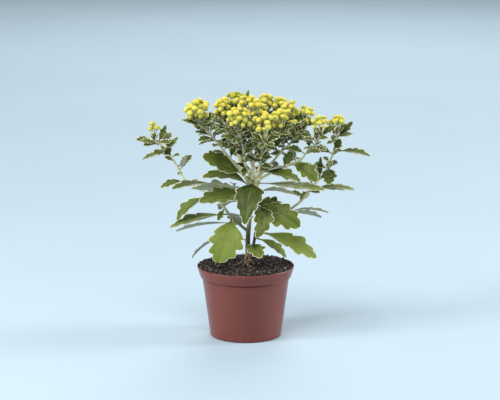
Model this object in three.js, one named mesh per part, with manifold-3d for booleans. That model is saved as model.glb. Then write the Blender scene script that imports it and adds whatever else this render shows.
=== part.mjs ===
// A potted gold and silver chrysanthemum: a bushy plant with silver-edged, lobed leaves
// and domed bunches of yellow button heads, growing in soil in a tapered plastic pot.
// Millimetres, +Z up. The origin is the centre of the pot's foot, and -Y is the front.

import * as THREE from "three";
import { mergeVertices } from "three/addons/utils/BufferGeometryUtils.js";
import Module from "manifold-3d";

const wasm = await Module();
wasm.setup();

// Driving dimensions of the pot
const POT_HEIGHT = 88;
const RIM_RADIUS = 60;
const RIM_BAND = 12;
const RIM_FOOT_RADIUS = 56.5;
const RIM_STEP = 0.6;
const RIM_BEVEL = 0.6;
const BODY_TOP_RADIUS = 53.9;
const FOOT_RADIUS = 44;
const FOOT_ROUND = 2;
const WALL = 1.5;
const FLOOR = 1.8;
const DRAIN_HOLES = 4;
const DRAIN_RADIUS = 3.5;
const DRAIN_CIRCLE = 30;
const DRAIN_SIDES = 8;
const ROUND_SEGMENTS = 24;

// The soil fills the pot to its rim, with a plain hole for the foot of the plant
const GAP = 0.3;
const SOIL_EDGE = 87;
const SOIL_MOUND = 2.4;
const SOIL_DIP = 1.2;
const SOIL_RINGS = 5;
const HOLE_RADIUS = 5.2;
const HOLE_BOTTOM = 64;
const HOLE_SIDES = 12;

// Stems, leaves and flower heads
const LEADER_X = 8;
const SWEEP_DROP = 0.2;
const STALK_SIDES = 5;
const STALK_STEP = 20;
const STALK_GAP = GAP + 0.05;
const ROOTLET_SIDES = 4;
const ROOTLET_STEPS = 3;
const ROOTLET_LIFT = 1.4;
const BLADE = 0.7;
const PETIOLE_HALF = 0.6;
const PEDICEL_RADIUS = 0.6;
const PEDICEL_SIDES = 3;
const PEDICEL_ROOT = 0.7;
const CUP_RADIUS = 1.7;
const CORE_LENGTH = 9;
const CORE_DEPTH = 8.5;
const CORE_SPREAD = 0.25;
const CORE_FOOT = 1.5;
const HEAD_RADIUS = 4.1;
const HEAD_SIDES = 5;
const HEAD_GIRTH = 0.97;
const HEAD_UNDER = 0.64;
const HEAD_OVER = 0.7;
const HEAD_SKIRT = 0.35;
const HEAD_UPRIGHT = 6;
const HEAD_JITTER = 1.2;
const HEART_SIDES = 6;
const HEART_INSET = 1;
const HEART_RISE = 0.2;
const HEART_SHOULDER = 0.9;
const HEART_FLOOR = 1;
const HEART_FEWEST = 5;
const STALKED_LEVEL = 0.02;
const GOLDEN_ANGLE = Math.PI * (3 - Math.sqrt(5));

const POT_RED = "#8a5550";
const SOIL_BROWN = "#2b211c";
const WOOD_BROWN = "#6b4a34";
const LEAF_GREEN = "#5f7a3a";
const PALE_GREEN = "#74875a";
const FLOWER_YELLOW = "#e3cf2f";
const YOUNG_YELLOW = "#cdd04a";

// Half outlines of the leaves, as fractions of the length and of the half width: a stalk-like
// base, a wedge, then rounded teeth. The rib is where the blade is creased along its middle.
const LEAF_FORMS = {
  broad: {
    edge: [
      [0, 0.05], [0.15, 0.08], [0.45, 0.86], [0.5, 0.72], [0.65, 1], [0.7, 0.8], [0.84, 0.7], [0.9, 0.4],
    ],
    rib: [0.15, 0.56, 0.86],
  },
  tapered: {
    edge: [
      [0, 0.05], [0.1, 0.08], [0.24, 0.8], [0.4, 1], [0.45, 0.86], [0.63, 0.66], [0.68, 0.5], [0.86, 0.26],
    ],
    rib: [0.1, 0.42, 0.7],
  },
  medium: {
    edge: [[0, 0.08], [0.2, 0.12], [0.5, 0.86], [0.55, 0.7], [0.73, 1], [0.8, 0.62]],
    rib: [0.2, 0.55, 0.79],
  },
  narrow: {
    edge: [[0, 0.1], [0.24, 0.15], [0.54, 0.92], [0.6, 0.7], [0.78, 0.86]],
    rib: [0.24, 0.6],
  },
  small: {
    edge: [[0, 0.16], [0.25, 0.24], [0.62, 1], [0.74, 0.66]],
    rib: [0.25, 0.7],
  },
};

// The brown foot of the plant, and the rootlets that spread from it over the soil
const FOOT_ROUTE = [[1, 0, 65], [1, 0, 86], [1.8, 0, 97], [2.5, 0, 108]];
const FOOT_RADII = [3.9, 3];
const SIDE_FOOT_ROUTE = [[1.5, 0, 92], [6, -1.5, 99], [8, -2.2, 104]];
const SIDE_FOOT_RADII = [2.2, 1.7];
const ROOTLETS = [
  { turn: 200, reach: 17, rise: 97 },
  { turn: 238, reach: 20, rise: 95 },
  { turn: 268, reach: 22, rise: 96 },
  { turn: 292, reach: 24, rise: 94 },
  { turn: 322, reach: 21, rise: 96 },
  { turn: 75, reach: 18, rise: 95 },
];
const ROOTLET_RADIUS = 0.75;

// Each shoot is one leafy stem. Its stalks are routes with a radius at each end, and "from"
// names the shoot that it stands on. Its sweep turns it back, or forward where negative. A leaf
// is [stalk, place in route points, tip, width, arch, lean of its upper face in x and y, form,
// sideways bow if any]. A bunch is the head of buttons that a stalk ends in.
const SHOOTS = [
  {
    name: "leader_shoot",
    stalks: [
      {
        route: [
          [2.5, 0, 108.4], [3, 1, 126], [5, 1, 148], [7, 0.5, 168], [8.5, 0, 188], [9, 1, 206], [7, 4, 228],
          [3, 8, 252],
        ],
        radii: [2.8, 1.1],
      },
      { route: [[8.8, 1.4, 209], [3, 9, 230], [-4, 16, 256]], radii: [1.5, 0.9] },
      { route: [[8.8, 0, 197], [9.8, -2, 206], [10.2, -3, 213]], radii: [2.6, 2.5] },
    ],
    leaves: [
      [0, 4.3, [-1, -37, 147], 36, 8, [0, -0.6], "tapered"],
      [0, 3.65, [-53, -14, 201], 22, 14, [0, -0.5], "medium"],
      [0, 3.1, [-62, -8, 186], 30, 7, [0, 0.9], "medium"],
      [0, 3.4, [-56, -30, 173], 32, 6, [0, -0.8], "broad"],
      [0, 3.5, [66, 18, 171], 24, 6, [0, 0], "medium"],
      [0, 2.8, [46, 4, 157], 26, 6, [-0.3, -0.8], "medium"],
      [0, 2.9, [14, -44, 132], 27, 8, [0, -0.6], "broad", -11],
      [0, 2.6, [66, -26, 142], 38, 9, [0, -1.1], "broad"],
      [0, 0.6, [-66, -5, 98], 30, 13, [0, 0.1], "medium"],
      [0, 0.3, [18, -32, 104], 26, 5, [0, -0.5], "medium"],
      [0, 2.95, [5, 50, 163], 34, 8, [0, 0.3], "broad"],
      [0, 2.7, [-32, 38, 150], 34, 8, [0, 0.2], "broad"],
      [0, 2.3, [40, 40, 136], 34, 8, [0, 0.2], "broad"],
      [0, 1.8, [-14, 50, 128], 36, 8, [0, 0.3], "broad"],
      [1, 2.5, [4, 35, 301], 9, 0, [0, -2], "small"],
    ],
    bunches: [
      { name: "centre_flowers", stalk: 0, at: [2, 8, 289], heads: 13, spread: [13, 9], dome: 5 },
      { name: "top_flowers", stalk: 1, at: [-12, 24, 295], heads: 9, spread: [9, 7], dome: 2.5, radius: 3.8 },
    ],
  },
  {
    name: "left_shoot",
    sweep: -0.25,
    from: "leader_shoot",
    stalks: [
      {
        route: [
          [8.5, 0, 187], [0, -1, 198], [-10, -2, 211], [-25, -4, 230], [-36, -5, 244], [-47, -5, 257],
        ],
        radii: [1.6, 1],
      },
    ],
    leaves: [
      [0, 1.3, [-52, -12, 226], 34, 3, [0, -0.9], "broad"],
      [0, 4, [-57, -4, 239], 9, 2, [0, -0.3], "narrow"],
      [0, 4.55, [-61, -3, 255], 9, 1, [0, -0.6], "small"],
      [0, 5.2, [-42, 0, 279], 8, 0, [0, -2], "small"],
      [0, 4.4, [-58, 6, 249], 9, 2, [0, 0.6], "narrow"],
    ],
    bunches: [
      { name: "left_flowers", stalk: 0, at: [-59.5, -5, 283], heads: 19, spread: [10.5, 10.5], dome: 8,
        slope: 0.25 },
    ],
  },
  {
    name: "left_side_shoot",
    sweep: -0.1,
    from: "leader_shoot",
    stalks: [
      { route: [[8.1, 0.8, 180.4], [-8, -4, 186], [-22, -6, 189], [-35, -9, 191]], radii: [1.4, 0.9] },
    ],
    leaves: [
      [0, 2.9, [-89, -28, 189], 22, 4, [0, -0.1], "medium"],
      [0, 1.4, [-17, -18, 194], 10, 2, [0, -0.5], "small"],
    ],
    bunches: [],
  },
  {
    name: "far_left_shoot",
    sweep: 0.25,
    from: "leader_shoot",
    stalks: [
      {
        route: [
          [3.4, 0, 130], [-8, -1, 140], [-19, -3, 151], [-34, -4, 170], [-55, -5, 184], [-73.7, -5, 195],
          [-83, -5, 210], [-94, -5, 229], [-103, -5, 239],
        ],
        radii: [1.7, 0.9],
      },
    ],
    leaves: [
      [0, 1.9, [-34, -46, 101.5], 46, 10, [0.1, -0.5], "broad", -5],
      [0, 1.1, [-87, 0, 130], 22, 4, [0, 0.35], "narrow"],
      [0, 2.5, [-34, -14, 147], 10, 1, [0, -0.6], "small"],
      [0, 2.1, [-94, -14, 138], 24, 5, [0, -0.35], "medium"],
      [0, 3.35, [-85, -10, 146], 22, 8, [0, -0.4], "medium"],
      [0, 4.9, [-105.6, -8, 187], 17, 4, [0, -0.5], "medium"],
      [0, 5.9, [-72, -8, 227], 9, -2, [0, 0.8], "small"],
      [0, 6.85, [-99, -12, 238], 16, 0, [0, -2], "small"],
      [0, 7, [-128, -10, 222.5], 13, 4, [0, -0.5], "narrow"],
      [0, 7.3, [-83, 0, 249], 9, 1, [0, -0.6], "small"],
      [0, 8.3, [-126, -10, 241], 12, 2, [0, -0.5], "narrow"],
      [0, 8.5, [-98, 0, 264], 10, 0, [0, -1.5], "small"],
      [0, 8.95, [-135.6, -6, 247], 13, 2, [0, -0.5], "narrow"],
    ],
    bunches: [
      { name: "far_left_flowers", stalk: 0, at: [-113, -4, 262], heads: 4, spread: [4, 4], dome: 2.5,
        radius: 3.8 },
    ],
  },
  {
    name: "left_inner_shoot",
    sweep: 0.35,
    from: "leader_shoot",
    stalks: [
      { route: [[8.7, 0.2, 193], [0, 1, 209], [-9, 2, 228], [-18, 4, 250]],
        radii: [1.4, 0.9] },
    ],
    leaves: [
      [0, 2.2, [-24, -8, 256], 15, 2, [0, -1], "medium"],
      [0, 3.2, [-38, 0, 256], 10, 2, [0, -0.6], "small"],
      [0, 3.6, [-32, -7, 264], 9, 1, [0, -0.8], "small"],
    ],
    bunches: [
      { name: "left_inner_flowers", stalk: 0, at: [-28.5, 8, 286.5], heads: 9, spread: [7.5, 7.5], dome: 4 },
    ],
  },
  {
    name: "front_left_shoot",
    from: "leader_shoot",
    stalks: [
      { route: [[8.9, 0.4, 200], [0, -9, 214], [-3, -17, 238]], radii: [1.4, 1] },
    ],
    leaves: [
      [0, 2.6, [-16, -32, 246], 10, 1, [0, -0.8], "small"],
      [0, 1.6, [9, -22, 246], 13, 1, [0, -2], "medium"],
      [0, 2.9, [4, -34, 262], 9, 1, [0, -0.8], "small"],
      [0, 0.9, [-3, -22, 203], 12, 3, [0, -0.8], "small"],
    ],
    bunches: [
      { name: "front_left_flowers", stalk: 0, at: [-8, -28, 279], heads: 17, spread: [11, 9.5], dome: 8 },
    ],
  },
  {
    name: "front_right_shoot",
    from: "leader_shoot",
    stalks: [
      { route: [[8.1, -0.2, 178.5], [13, -10, 197], [17.5, -13.5, 218], [20, -16, 239]], radii: [1.4, 1] },
      { route: [[19.5, -16, 239], [22, -30, 244]], radii: [1, 0.9] },
      { route: [[18.5, -14.5, 227], [28, -17, 240], [36, -20, 250]], radii: [1, 0.9] },
      { route: [[18, -14, 222], [14, -13, 238], [13, -13, 252]], radii: [1, 0.9] },
    ],
    leaves: [
      [0, 2.55, [48, -16, 248], 14, 2, [0, -0.6], "medium"],
      [0, 2.45, [12, -22, 238], 10, 1, [0, -1], "small"],
      [0, 3.9, [40, -30, 258], 9, 1, [0, -0.8], "small"],
      [0, 1.5, [66.5, -22, 197], 26, 5, [0, -0.5], "medium"],
      [0, 1.8, [31, -22, 214], 11, 3, [0, -0.8], "small"],
    ],
    bunches: [
      { name: "front_right_flowers", stalk: 0, at: [23, -30, 275], heads: 12, spread: [10.5, 8], dome: 4 },
      { name: "front_low_flowers", stalk: 1, at: [23, -44, 265.5], heads: 3, spread: [4, 2], dome: 1 },
      { name: "front_side_flowers", stalk: 2, at: [41.6, -22, 276.5], heads: 9, spread: [5, 5], dome: 7 },
      { name: "centre_front_flowers", stalk: 3, at: [13.5, -12, 288], heads: 6, spread: [5, 4], dome: 4 },
    ],
  },
  {
    name: "back_shoot",
    from: "leader_shoot",
    stalks: [
      { route: [[8.6, 1.7, 211], [13, 7, 230], [19, 14, 254]], radii: [1.4, 0.9] },
    ],
    leaves: [
      [0, 1.3, [26, 26, 252], 11, 1, [0, 0.5], "small"],
      [0, 2.2, [10, 30, 266], 10, 1, [0, 0.5], "small"],
    ],
    bunches: [
      { name: "back_flowers", stalk: 0, at: [24, 20, 290], heads: 7, spread: [6, 7], dome: 5 },
    ],
  },
  {
    name: "right_inner_shoot",
    sweep: 0.3,
    from: "leader_shoot",
    stalks: [
      { route: [[8.9, 0.7, 199], [18, 3, 215], [28, 6, 238], [36, 10, 258]], radii: [1.4, 0.9] },
    ],
    leaves: [
      [0, 1.4, [27, -6, 230], 9, 1, [0, -1.5], "small"],
      [0, 2.4, [46, 0, 256], 9, 1, [0, -0.8], "small"],
      [0, 3, [28, 4, 270], 8, 0, [0, -1], "small"],
    ],
    bunches: [
      { name: "right_inner_flowers", stalk: 0, at: [39.5, 12, 288], heads: 7, spread: [5.5, 6], dome: 4.5 },
    ],
  },
  {
    name: "right_shoot",
    sweep: 0.15,
    from: "leader_shoot",
    stalks: [
      {
        route: [
          [8.7, 0.1, 193], [20, -1, 204], [32, -2, 217], [45, -2, 232], [58, -2, 244],
        ],
        radii: [1.6, 1],
      },
      { route: [[44, -2, 231], [48, 1, 246]], radii: [1, 0.8] },
      { route: [[55, -2, 241.5], [58, -12, 250]], radii: [1, 0.8] },
    ],
    leaves: [
      [0, 4.2, [79, -6, 250], 10, 2, [0, -0.5], "small"],
      [0, 4.7, [77, -8, 268], 8, 1, [0, -0.8], "small"],
    ],
    bunches: [
      { name: "right_flowers", stalk: 0, at: [72, 2, 278.5], heads: 9, spread: [7.5, 7], dome: 4,
        radius: 3.8 },
      { name: "right_mid_flowers", stalk: 1, at: [53, 0, 283], heads: 8, spread: [5, 5], dome: 5.5 },
      { name: "right_low_flowers", stalk: 2, at: [58, -16, 268.5], heads: 2, spread: [3, 2], dome: 1,
        radius: 3.7 },
    ],
  },
  {
    name: "right_outer_shoot",
    sweep: -0.25,
    from: "leader_shoot",
    stalks: [
      {
        route: [
          [8.5, 0, 188], [20, 1, 197.5], [36, 2, 206], [48, 1, 211], [66.5, -1, 220], [75, -3, 231],
          [85, -3.5, 241],
        ],
        radii: [1.6, 0.9],
      },
    ],
    leaves: [
      [0, 0.3, [95.5, -24, 187], 24, 2, [0, -0.2], "medium"],
      [0, 2.8, [57, -2, 231], 16, 1, [0, -2.5], "medium"],
      [0, 3.3, [86, -18, 196], 26, 9, [0, -0.6], "medium"],
      [0, 3.8, [86, 6, 197], 14, 6, [0, 0.8], "narrow"],
      [0, 5.25, [97, -10, 233], 13, 2, [0, -0.4], "medium"],
      [0, 6.2, [82, -13, 257], 9, 1, [0, -0.8], "small"],
    ],
    bunches: [
      { name: "right_outer_flowers", stalk: 0, at: [90, -3, 266.5], heads: 6, spread: [5.5, 5], dome: 3,
        radius: 3.8 },
    ],
  },
  {
    name: "far_right_shoot",
    sweep: 0.22,
    from: "plant_foot",
    stalks: [
      {
        route: [
          [7.4, -2, 103], [10.5, -3, 119], [14, -4, 134], [28, -4, 145], [42, -4, 152], [54, -4, 158.5],
          [66.5, -4, 168], [74, -4, 176], [82.4, -4, 188], [88.6, -3, 194], [99.6, -2, 205], [103, -1, 216],
          [108, 0, 230],
        ],
        radii: [1.7, 0.9],
      },
    ],
    leaves: [
      [0, 1.8, [87, -24, 102], 30, 8, [0, -0.7], "medium"],
      [0, 1.25, [50, -12, 100], 22, 6, [0, -0.5], "medium"],
      [0, 4.6, [103, -8, 155], 16, 4, [0, 0.1], "narrow"],
      [0, 4.2, [94, 8, 146], 16, 4, [0, 0.6], "narrow"],
      [0, 7.65, [135, -6, 184], 19, 4, [0, -0.5], "medium"],
      [0, 9, [88.6, 2, 218], 15, 0, [0, -2.5], "medium"],
      [0, 10.6, [102, -24, 194], 22, 5, [0, -0.8], "medium"],
      [0, 9.25, [92, -10, 226], 8, 0, [0, -1], "small"],
      [0, 10.9, [113, -7, 219], 9, 1, [0, -0.6], "small"],
      [0, 12.15, [117, -10, 248], 15, 0, [0, -2], "medium"],
      [0, 12, [154, -6, 226], 16, 5, [0, -0.5], "narrow"],
      [0, 12.8, [132, 2, 268], 12, 0, [0, -0.8], "small"],
    ],
    bunches: [
      { name: "far_right_flowers", stalk: 0, at: [112, 0, 268.8], heads: 8, spread: [8.5, 6], dome: 2.5,
        slope: 0.25, radius: 3.8 },
    ],
  },
  {
    name: "back_left_shoot",
    from: "leader_shoot",
    stalks: [
      { route: [[7.8, 0.5, 174.6], [0, 12, 196], [-10, 24, 222], [-18, 34, 248]], radii: [1.6, 0.9] },
    ],
    leaves: [
      [0, 1.3, [-38, 34, 212], 22, 5, [0, 0.1], "medium"],
      [0, 2, [-18, 58, 230], 20, 4, [0, 0.3], "medium"],
      [0, 2.6, [6, 46, 244], 16, 3, [0, 0.2], "medium"],
      [0, 3.2, [-38, 44, 258], 12, 2, [0, 0.2], "small"],
    ],
    bunches: [
      { name: "back_left_flowers", stalk: 0, at: [-24, 44, 283], heads: 8, spread: [8.5, 7], dome: 4.5 },
    ],
  },
  {
    name: "back_right_shoot",
    from: "leader_shoot",
    stalks: [
      { route: [[7.5, 0.4, 169], [16, 12, 190], [26, 24, 220], [36, 36, 248]], radii: [1.6, 0.9] },
    ],
    leaves: [
      [0, 1.3, [52, 30, 204], 22, 5, [0, 0.1], "medium"],
      [0, 2, [36, 60, 228], 20, 4, [0, 0.3], "medium"],
      [0, 2.6, [16, 50, 246], 16, 3, [0, 0.2], "medium"],
      [0, 3.2, [56, 44, 256], 12, 2, [0, 0.2], "small"],
    ],
    bunches: [
      { name: "back_right_flowers", stalk: 0, at: [42, 44, 281], heads: 8, spread: [8.5, 7], dome: 4.5 },
    ],
  },
];

const UP = new THREE.Vector3(0, 0, 1);

function vector([x, y, z]) {
  return new THREE.Vector3(x, y, z);
}

// Sweeping moves a spot back by so much for each millimetre that it stands out from the leader,
// and a shoot that turns forward stands a little higher than one that turns back
function swept([x, y, z], sweep = 0) {
  const shift = sweep * Math.abs(x - LEADER_X);
  return [x, y + shift, z - SWEEP_DROP * shift];
}

function sweptShoot(shoot) {
  const place = (spot) => swept(spot, shoot.sweep);
  return {
    ...shoot,
    stalks: shoot.stalks.map((item) => ({ ...item, route: item.route.map(place) })),
    leaves: shoot.leaves.map(([stem, start, tip, ...rest]) => [stem, start, place(tip), ...rest]),
    bunches: shoot.bunches.map((bunch) => ({ ...bunch, at: place(bunch.at) })),
  };
}

// A repeatable draw between 0 and 1 for the thing numbered index
function chance(index, draw) {
  const value = Math.sin(index * 12.9898 + draw * 78.233) * 43758.5453;
  return value - Math.floor(value);
}

function solid(geometry) {
  geometry.deleteAttribute("normal");
  geometry.deleteAttribute("uv");
  const merged = mergeVertices(geometry, 1e-4);
  const vertProperties = new Float32Array(merged.attributes.position.array);
  const triVerts = new Uint32Array(merged.index.array);
  return new wasm.Manifold(new wasm.Mesh({ numProp: 3, vertProperties, triVerts }));
}

function join(solids) {
  return solids.reduce((whole, next) => whole.add(next));
}

function mesh(name, shape, color, roughness) {
  const result = shape.getMesh();
  const geometry = new THREE.BufferGeometry();
  geometry.setAttribute("position", new THREE.BufferAttribute(new Float32Array(result.vertProperties), 3));
  geometry.setIndex(new THREE.BufferAttribute(new Uint32Array(result.triVerts), 1));
  geometry.computeVertexNormals();
  const part = new THREE.Mesh(geometry, new THREE.MeshStandardMaterial({ color, roughness, metalness: 0 }));
  part.name = name;
  return part;
}

function route(points) {
  return new THREE.CatmullRomCurve3(points.map(vector), false, "catmullrom", 0.5);
}

// A round stem along a curve, whose radius is radiusAt(0) where it starts and radiusAt(1) at its end
function tube(curve, radiusAt, sides, steps) {
  const ring = Array.from({ length: sides }, (_, side) => {
    const turn = (2 * Math.PI * side) / sides;
    return new THREE.Vector2(Math.cos(turn), Math.sin(turn));
  });
  const options = { steps, bevelEnabled: false, extrudePath: curve };
  const geometry = new THREE.ExtrudeGeometry(new THREE.Shape(ring), options);
  const middles = curve.getSpacedPoints(steps);
  const corners = geometry.attributes.position;
  const corner = new THREE.Vector3();
  for (let i = 0; i < corners.count; i += 1) {
    corner.fromBufferAttribute(corners, i);
    const reaches = middles.map((middle) => middle.distanceTo(corner));
    const step = reaches.indexOf(Math.min(...reaches));
    corner.sub(middles[step]).multiplyScalar(radiusAt(step / steps)).add(middles[step]);
    corners.setXYZ(i, corner.x, corner.y, corner.z);
  }
  return solid(geometry);
}

function taper([first, last]) {
  return (along) => first + (last - first) * along;
}

function stalk({ curve, radii }, extra = 0) {
  const steps = Math.max(2, Math.round(curve.getLength() / STALK_STEP));
  const radiusAt = taper(radii);
  return tube(curve, (along) => radiusAt(along) + extra, STALK_SIDES, steps);
}

// The blade's own directions: along it, out of its upper face and across it
function bladeFrame(base, leaf) {
  const [, , tip, width, arch, lean, , bow = 0] = leaf;
  const along = vector(tip).sub(base);
  const length = along.length();
  along.normalize();
  const face = new THREE.Vector3(lean[0], lean[1], 1);
  face.addScaledVector(along, -face.dot(along)).normalize();
  const across = new THREE.Vector3().crossVectors(along, face);
  return { base, length, along, face, across, half: width / 2, arch, bow };
}

// A point of the blade at the fraction s of its length and h of its half width. Each blade has
// a fold along its rib, waves along its edges and a slight twist of its own.
function bladePoint(frame, s, h, lift, index) {
  const { base, length, along, face, across, half, arch, bow } = frame;
  const fold = 0.1 + 0.18 * chance(index, 1);
  const wave = half * (0.03 + 0.05 * chance(index, 2));
  const twist = (chance(index, 4) - 0.5) * 0.5 * s;
  const hump = 4 * s * (1 - s);
  const slope = (arch * 4 * (1 - 2 * s)) / length;
  const normal = face.clone().addScaledVector(along, -slope).normalize();
  const side = across.clone().multiplyScalar(Math.cos(twist)).addScaledVector(normal, Math.sin(twist));
  const out = normal.clone().multiplyScalar(Math.cos(twist)).addScaledVector(across, -Math.sin(twist));
  const reach = Math.sign(h) * Math.max(Math.abs(h) * half, Math.min(Math.abs(h) * 100, PETIOLE_HALF));
  const sway = Math.sin(2 * Math.PI * (1.6 * s + chance(index, 3)) + h);
  const rise = fold * Math.abs(reach) + wave * h * h * sway;
  const point = base.clone().addScaledVector(along, length * s).addScaledVector(face, arch * hump);
  point.addScaledVector(across, bow * hump).addScaledVector(side, reach);
  return point.addScaledVector(out, rise + lift);
}

// Triangles between the rib and one edge of the blade, both running from the base to the tip
function zip(rib, edge) {
  const faces = [];
  let inner = 0;
  let outer = 0;
  while (inner < rib.length - 1 || outer < edge.length - 1) {
    const innerNext = inner < rib.length - 1 ? rib[inner + 1].s : Infinity;
    const outerNext = outer < edge.length - 1 ? edge[outer + 1].s : Infinity;
    if (outerNext <= innerNext) {
      faces.push([rib[inner].id, edge[outer].id, edge[outer + 1].id]);
      outer += 1;
    } else {
      faces.push([rib[inner].id, edge[outer].id, rib[inner + 1].id]);
      inner += 1;
    }
  }
  return faces.filter((face) => new Set(face).size === 3);
}

function leaf(base, record, index) {
  const frame = bladeFrame(base, record);
  const form = LEAF_FORMS[record[6]];
  const outline = [];
  const place = (s, h) => {
    outline.push([s, h]);
    return { s, id: outline.length - 1 };
  };
  const tip = place(1, 0);
  const rib = [place(0, 0), ...form.rib.map((s) => place(s, 0)), tip];
  const left = [...form.edge.map(([s, h]) => place(s, h)), tip];
  const right = [...form.edge.map(([s, h]) => place(s, -h)), tip];
  const upper = [...zip(rib, left), ...zip(rib, right).map(([a, b, c]) => [a, c, b])];
  const count = outline.length;
  const lower = upper.map(([a, b, c]) => [a + count, c + count, b + count]);
  const loop = [rib[0], ...right, ...left.slice(0, -1).reverse(), rib[0]].map(({ id }) => id);
  const walls = [];
  for (let i = 0; i < loop.length - 1; i += 1) {
    const a = loop[i];
    const b = loop[i + 1];
    walls.push([a, b, a + count], [b, b + count, a + count]);
  }
  const spots = [BLADE / 2, -BLADE / 2].flatMap((lift) => {
    return outline.map(([s, h]) => bladePoint(frame, s, h, lift, index).toArray());
  });
  const vertProperties = new Float32Array(spots.flat());
  const triVerts = new Uint32Array([...upper, ...lower, ...walls].flat());
  return new wasm.Manifold(new wasm.Mesh({ numProp: 3, vertProperties, triVerts }));
}

// The button heads of a bunch, laid out in a spiral over a dome. Their level is 1 at the top of
// the dome, and the spiral ends in a skirt of heads under its middle height.
function bunchHeads(bunch, index) {
  const { at, heads, spread, dome, slope = 0, radius = HEAD_RADIUS } = bunch;
  return Array.from({ length: heads }, (_, i) => {
    const level = 1 - ((1 + HEAD_SKIRT) * (i + 0.5)) / heads;
    const out = Math.sqrt(1 - level * level);
    const turn = i * GOLDEN_ANGLE + index;
    const x = spread[0] * out * Math.cos(turn);
    const y = spread[1] * out * Math.sin(turn);
    const z = dome * level + slope * x + HEAD_JITTER * (chance(index * 40 + i, 5) - 0.5);
    const spot = vector(at).add(new THREE.Vector3(x, y, z));
    const size = radius * (0.93 + 0.14 * chance(index * 40 + i, 6));
    const axis = spot.clone().sub(coreTop(bunch));
    axis.z += HEAD_UPRIGHT;
    axis.normalize();
    return { spot, size, axis, level };
  });
}

// The domed middle of a large bunch, which its heads stand out of
function heart({ at, spread, dome, slope = 0 }) {
  const top = dome + HEART_RISE;
  const profile = [[0, -HEART_FLOOR], [1, -HEART_FLOOR], [HEART_SHOULDER, top / 2], [0, top]];
  const geometry = new THREE.LatheGeometry(profile.map(([r, z]) => new THREE.Vector2(r, z)), HEART_SIDES);
  geometry.rotateX(Math.PI / 2);
  geometry.scale(spread[0] - HEART_INSET, spread[1] - HEART_INSET, 1);
  geometry.applyMatrix4(new THREE.Matrix4().makeShear(0, slope, 0, 0, 0, 0));
  geometry.translate(...at);
  return solid(geometry);
}

// A round button head of tight florets
function head({ spot, size, axis }, index) {
  const profile = [[0, -HEAD_UNDER], [HEAD_GIRTH, 0], [0, HEAD_OVER]];
  const points = profile.map(([r, z]) => new THREE.Vector2(r * size, z * size));
  const geometry = new THREE.LatheGeometry(points, HEAD_SIDES);
  geometry.rotateX(Math.PI / 2);
  geometry.rotateZ(index);
  geometry.applyQuaternion(new THREE.Quaternion().setFromUnitVectors(UP, axis));
  geometry.translate(spot.x, spot.y, spot.z);
  return solid(geometry);
}

// Where the stalks of a bunch's heads part: the flat top of a slim cone on the end of its stem
function coreTop({ at }) {
  return vector(at).add(new THREE.Vector3(0, 0, -CORE_DEPTH));
}

function coreFoot(bunch) {
  return coreTop(bunch).add(new THREE.Vector3(0, 0, -CORE_LENGTH));
}

function core(bunch) {
  const reach = (CORE_SPREAD * Math.max(...bunch.spread)) / Math.cos(Math.PI / STALK_SIDES) + PEDICEL_RADIUS;
  const axis = new THREE.LineCurve3(coreFoot(bunch), coreTop(bunch));
  return tube(axis, taper([CORE_FOOT, reach]), STALK_SIDES, 1);
}

// The stalk under the middle of a large bunch
function heartStalk(bunch) {
  const top = coreTop(bunch);
  const start = top.clone();
  start.z -= PEDICEL_ROOT;
  const end = vector(bunch.at);
  end.z -= HEART_FLOOR + 2 * GAP;
  return tube(new THREE.LineCurve3(start, end), taper([PEDICEL_RADIUS, CUP_RADIUS]), PEDICEL_SIDES, 1);
}

// The thin stalk of one head, rooted in the cone's flat top, which opens into a small cup below it
function pedicel({ spot, size, axis }, bunch) {
  const top = coreTop(bunch);
  const start = top.clone().lerp(spot, CORE_SPREAD);
  start.z = top.z - PEDICEL_ROOT;
  const end = spot.clone().addScaledVector(axis, -HEAD_UNDER * size - 2 * GAP);
  return tube(new THREE.LineCurve3(start, end), taper([PEDICEL_RADIUS, CUP_RADIUS]), PEDICEL_SIDES, 1);
}

function soilHeight(x, y) {
  const out = (x * x + y * y) / (RIM_RADIUS * RIM_RADIUS);
  const lumps = 0.7 * Math.sin(0.31 * x + 1.3) * Math.cos(0.27 * y) + 0.5 * Math.sin(0.53 * x - 0.41 * y + 2);
  return SOIL_EDGE + SOIL_MOUND * (1 - out) + lumps;
}

function turned(profile) {
  const geometry = new THREE.LatheGeometry(profile.map(([r, z]) => new THREE.Vector2(r, z)), ROUND_SEGMENTS);
  geometry.rotateX(Math.PI / 2);
  return geometry;
}

function innerRadius(z) {
  const foot = FOOT_RADIUS - WALL;
  const shoulder = POT_HEIGHT - RIM_BAND;
  const waist = BODY_TOP_RADIUS - WALL;
  if (z > shoulder) {
    return waist + ((RIM_RADIUS - WALL - waist) * (z - shoulder)) / RIM_BAND;
  }
  return foot + ((waist - foot) * z) / shoulder;
}

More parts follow.
